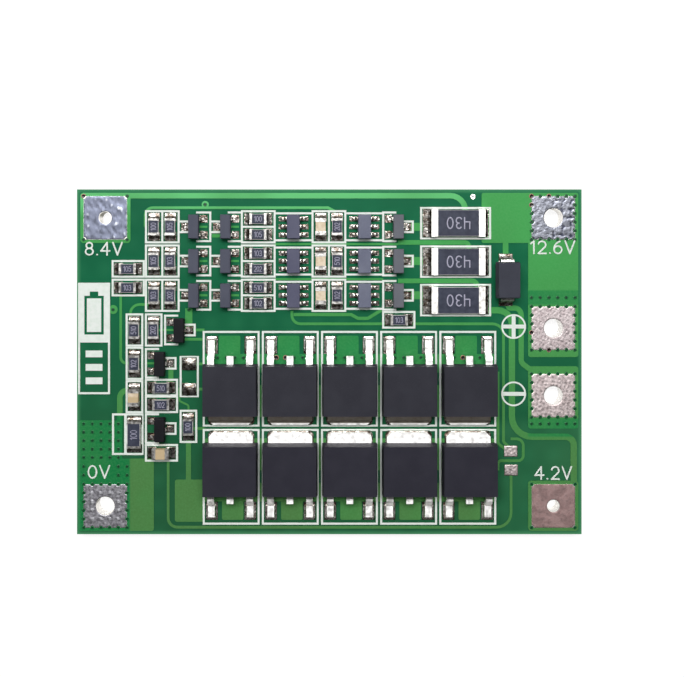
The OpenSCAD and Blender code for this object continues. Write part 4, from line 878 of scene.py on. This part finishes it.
class BOARD_OT_marks(bpy.types.Operator):
    """Adds the voltage marks at the terminals and the numbers on the resistors"""
    bl_idname = "board.marks"
    bl_label = "Marks"

    def execute(self, context):
        # Each mark is its text, its terminal, its width and its place from the terminal's middle
        marks = [("8.4V", "terminal_8v4", 4.35, (-0.2, -3.67)),
                 ("12.6V", "terminal_12v6", 5.25, (-0.1, -3.5)),
                 ("4.2V", "terminal_4v2", 4.3, (0.0, 3.9)),
                 ("0V", "terminal_0v", 2.5, (-0.77, 4.03))]
        gap, ink_thick = 0.26, 0.03
        high, wide = setting("voltage_height") / MM, setting("voltage_line") / MM
        voltages = []
        for text, terminal, width, shift in marks:
            x, y = centre(terminal) + shift
            strokes = written(text, high, gap, width)
            voltages.append(ribbons(strokes, (x, y, COPPER_TOP, 0), wide, ink_thick))
        ink = bpy.data.materials["screened_white_ink"]
        shell("voltage_marks", np.concatenate(voltages), ink)
        # The large resistors read upside down, and the small ones along their length
        mark_thick, large_from, tiny_to = 0.008, 4, 2
        codes = ("103", "105", "100", "102", "510", "202")
        large, small = [], []
        glazes = sorted(solids("resistor_glazes"), key=lambda corners: tuple(np.round(corners[0], 1)))
        for count, (low, top) in enumerate(glazes):
            length, depth = (top - low)[:2]
            x, y = (low + top)[:2] / 2
            if max(length, depth) > large_from:
                number = written("Y30", setting("code_height") / MM, 0.32, 2.65)
                large.append(ribbons(number, (x, y, top[2], 180), 0.15, mark_thick))
            else:
                tall = 0.6 if max(length, depth) < tiny_to else 0.75
                number = written(codes[count % len(codes)], tall, 0.2, tall * 1.45)
                small.append(ribbons(number, (x, y, top[2], 0 if length > depth else 90), 0.085, mark_thick))
        printed = resistor_mark_finish("printed_resistor_mark", "#b9b7cb")
        worn = resistor_mark_finish("worn_resistor_mark", "#a3a1b6")
        shell("large_resistor_numbers", np.concatenate(large), printed)
        shell("small_resistor_numbers", np.concatenate(small), worn)
        return {"FINISHED"}


class BOARD_OT_stage(bpy.types.Operator):
    """Adds the white floor, the soft light and the camera above the board"""
    bl_idname = "board.stage"
    bl_label = "Stage"

    def execute(self, context):
        scene = context.scene
        stage = scene.board_stage
        # The floor lies a hair below the board
        half, below = 1.5, -1e-5
        corners = [(x, y, below) for x, y in ((-half, -half), (half, -half), (half, half), (-half, half))]
        floor = add_mesh("floor", corners, [(0, 1, 2, 3)], paper_finish())

        world = bpy.data.worlds.new("white_room")
        world.use_nodes = True
        room = world.node_tree
        room.nodes.clear()
        strength = shade(room, "MapRange", {"Value": looked_at(room), 3: stage.sky, 4: 1.0})[0]
        white = shade(room, "Background", {"Color": linear("#ffffff"), "Strength": strength})[0]
        shade(room, "OutputWorld", {"Surface": white})
        scene.world = world

        # A soft box to the north lights the board, and a second one shows only in gloss. Lengths are metres
        for name, place, size, power, lights in [
            ("soft_box", (-0.02, 0.13, 0.26), (0.26, 0.12), stage.lamp, True),
            ("gloss_box", (-0.02, 0.142, 0.26), (0.30, 0.06), stage.gloss, False),
        ]:
            light = bpy.data.lights.new(name, "AREA")
            light.shape = "RECTANGLE"
            light.size, light.size_y = size
            light.energy = power
            lamp = bpy.data.objects.new(name, light)
            lamp.location = place
            lamp.rotation_euler = (-math.atan2(place[1], place[2]), 0, 0)
            lamp.visible_glossy = not lights
            lamp.visible_diffuse = lights
            scene.collection.objects.link(lamp)

        # A dark ceiling and walls keep the straight-down reflection dim. They stand open to the north, so
        # that slopes that face north gleam and others don't
        wide, high, open_y = 0.5, 0.34, 0.35
        plan = [(-wide, open_y), (-wide, -wide), (wide, -wide), (wide, open_y)]
        points = [(x, y, z) for z in (0.0, high) for x, y in plan]
        sides = [(0, 1, 5, 4), (1, 2, 6, 5), (2, 3, 7, 6), (4, 5, 6, 7)]
        ceiling = add_mesh("dark_room", points, sides, felt_finish(stage.ceiling, high))
        ceiling.visible_camera = ceiling.visible_diffuse = ceiling.visible_shadow = False
        ceiling.visible_transmission = False

        # The picture is 684 pixels wide, 8.415 a millimetre, and its middle is counted from the board's.
        # The camera hangs beside it with its lens shifted back, so that upright sides show as photographed
        width, away, middle, shift, film = 81.28, 100.0, (1.509, 2.776), (0.03, -0.13), 36.0
        optics = bpy.data.cameras.new("camera")
        optics.sensor_width = film
        optics.lens = film * away / width
        optics.shift_x, optics.shift_y = shift
        optics.clip_start = 0.005
        camera = bpy.data.objects.new("camera", optics)
        across, along = (middle[k] - shift[k] * width for k in range(2))
        camera.location = (across * MM, along * MM, (COPPER_TOP + away) * MM)
        scene.collection.objects.link(camera)
        scene.camera = camera
        scene.view_settings.view_transform = "Standard"
        return {"FINISHED"}


OPERATORS = (BOARD_OT_stage, BOARD_OT_mask, BOARD_OT_vias, BOARD_OT_terminals, BOARD_OT_solder,
             BOARD_OT_power_transistors, BOARD_OT_small_parts, BOARD_OT_marks)


class BOARD_PT_finish(bpy.types.Panel):
    """Lists the finish settings and the steps"""
    bl_idname = "BOARD_PT_finish"
    bl_label = "Battery management board"
    bl_space_type = "VIEW_3D"
    bl_region_type = "UI"
    bl_category = "Board"

    def draw(self, context):
        for group in (context.scene.board_finish, context.scene.board_stage):
            for name in group.__annotations__:
                self.layout.prop(group, name)
        for step in OPERATORS:
            self.layout.operator(step.bl_idname)


CLASSES = (BoardFinish, BoardStage, *OPERATORS, BOARD_PT_finish)


def register():
    for each in CLASSES:
        bpy.utils.register_class(each)
    bpy.types.Scene.board_finish = PointerProperty(type=BoardFinish)
    bpy.types.Scene.board_stage = PointerProperty(type=BoardStage)


def unregister():
    del bpy.types.Scene.board_stage
    del bpy.types.Scene.board_finish
    for each in reversed(CLASSES):
        bpy.utils.unregister_class(each)


def main():
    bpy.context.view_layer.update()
    register()
    for step in OPERATORS:
        group, name = step.bl_idname.split(".")
        getattr(getattr(bpy.ops, group), name)()


if __name__ == "__main__":
    main()
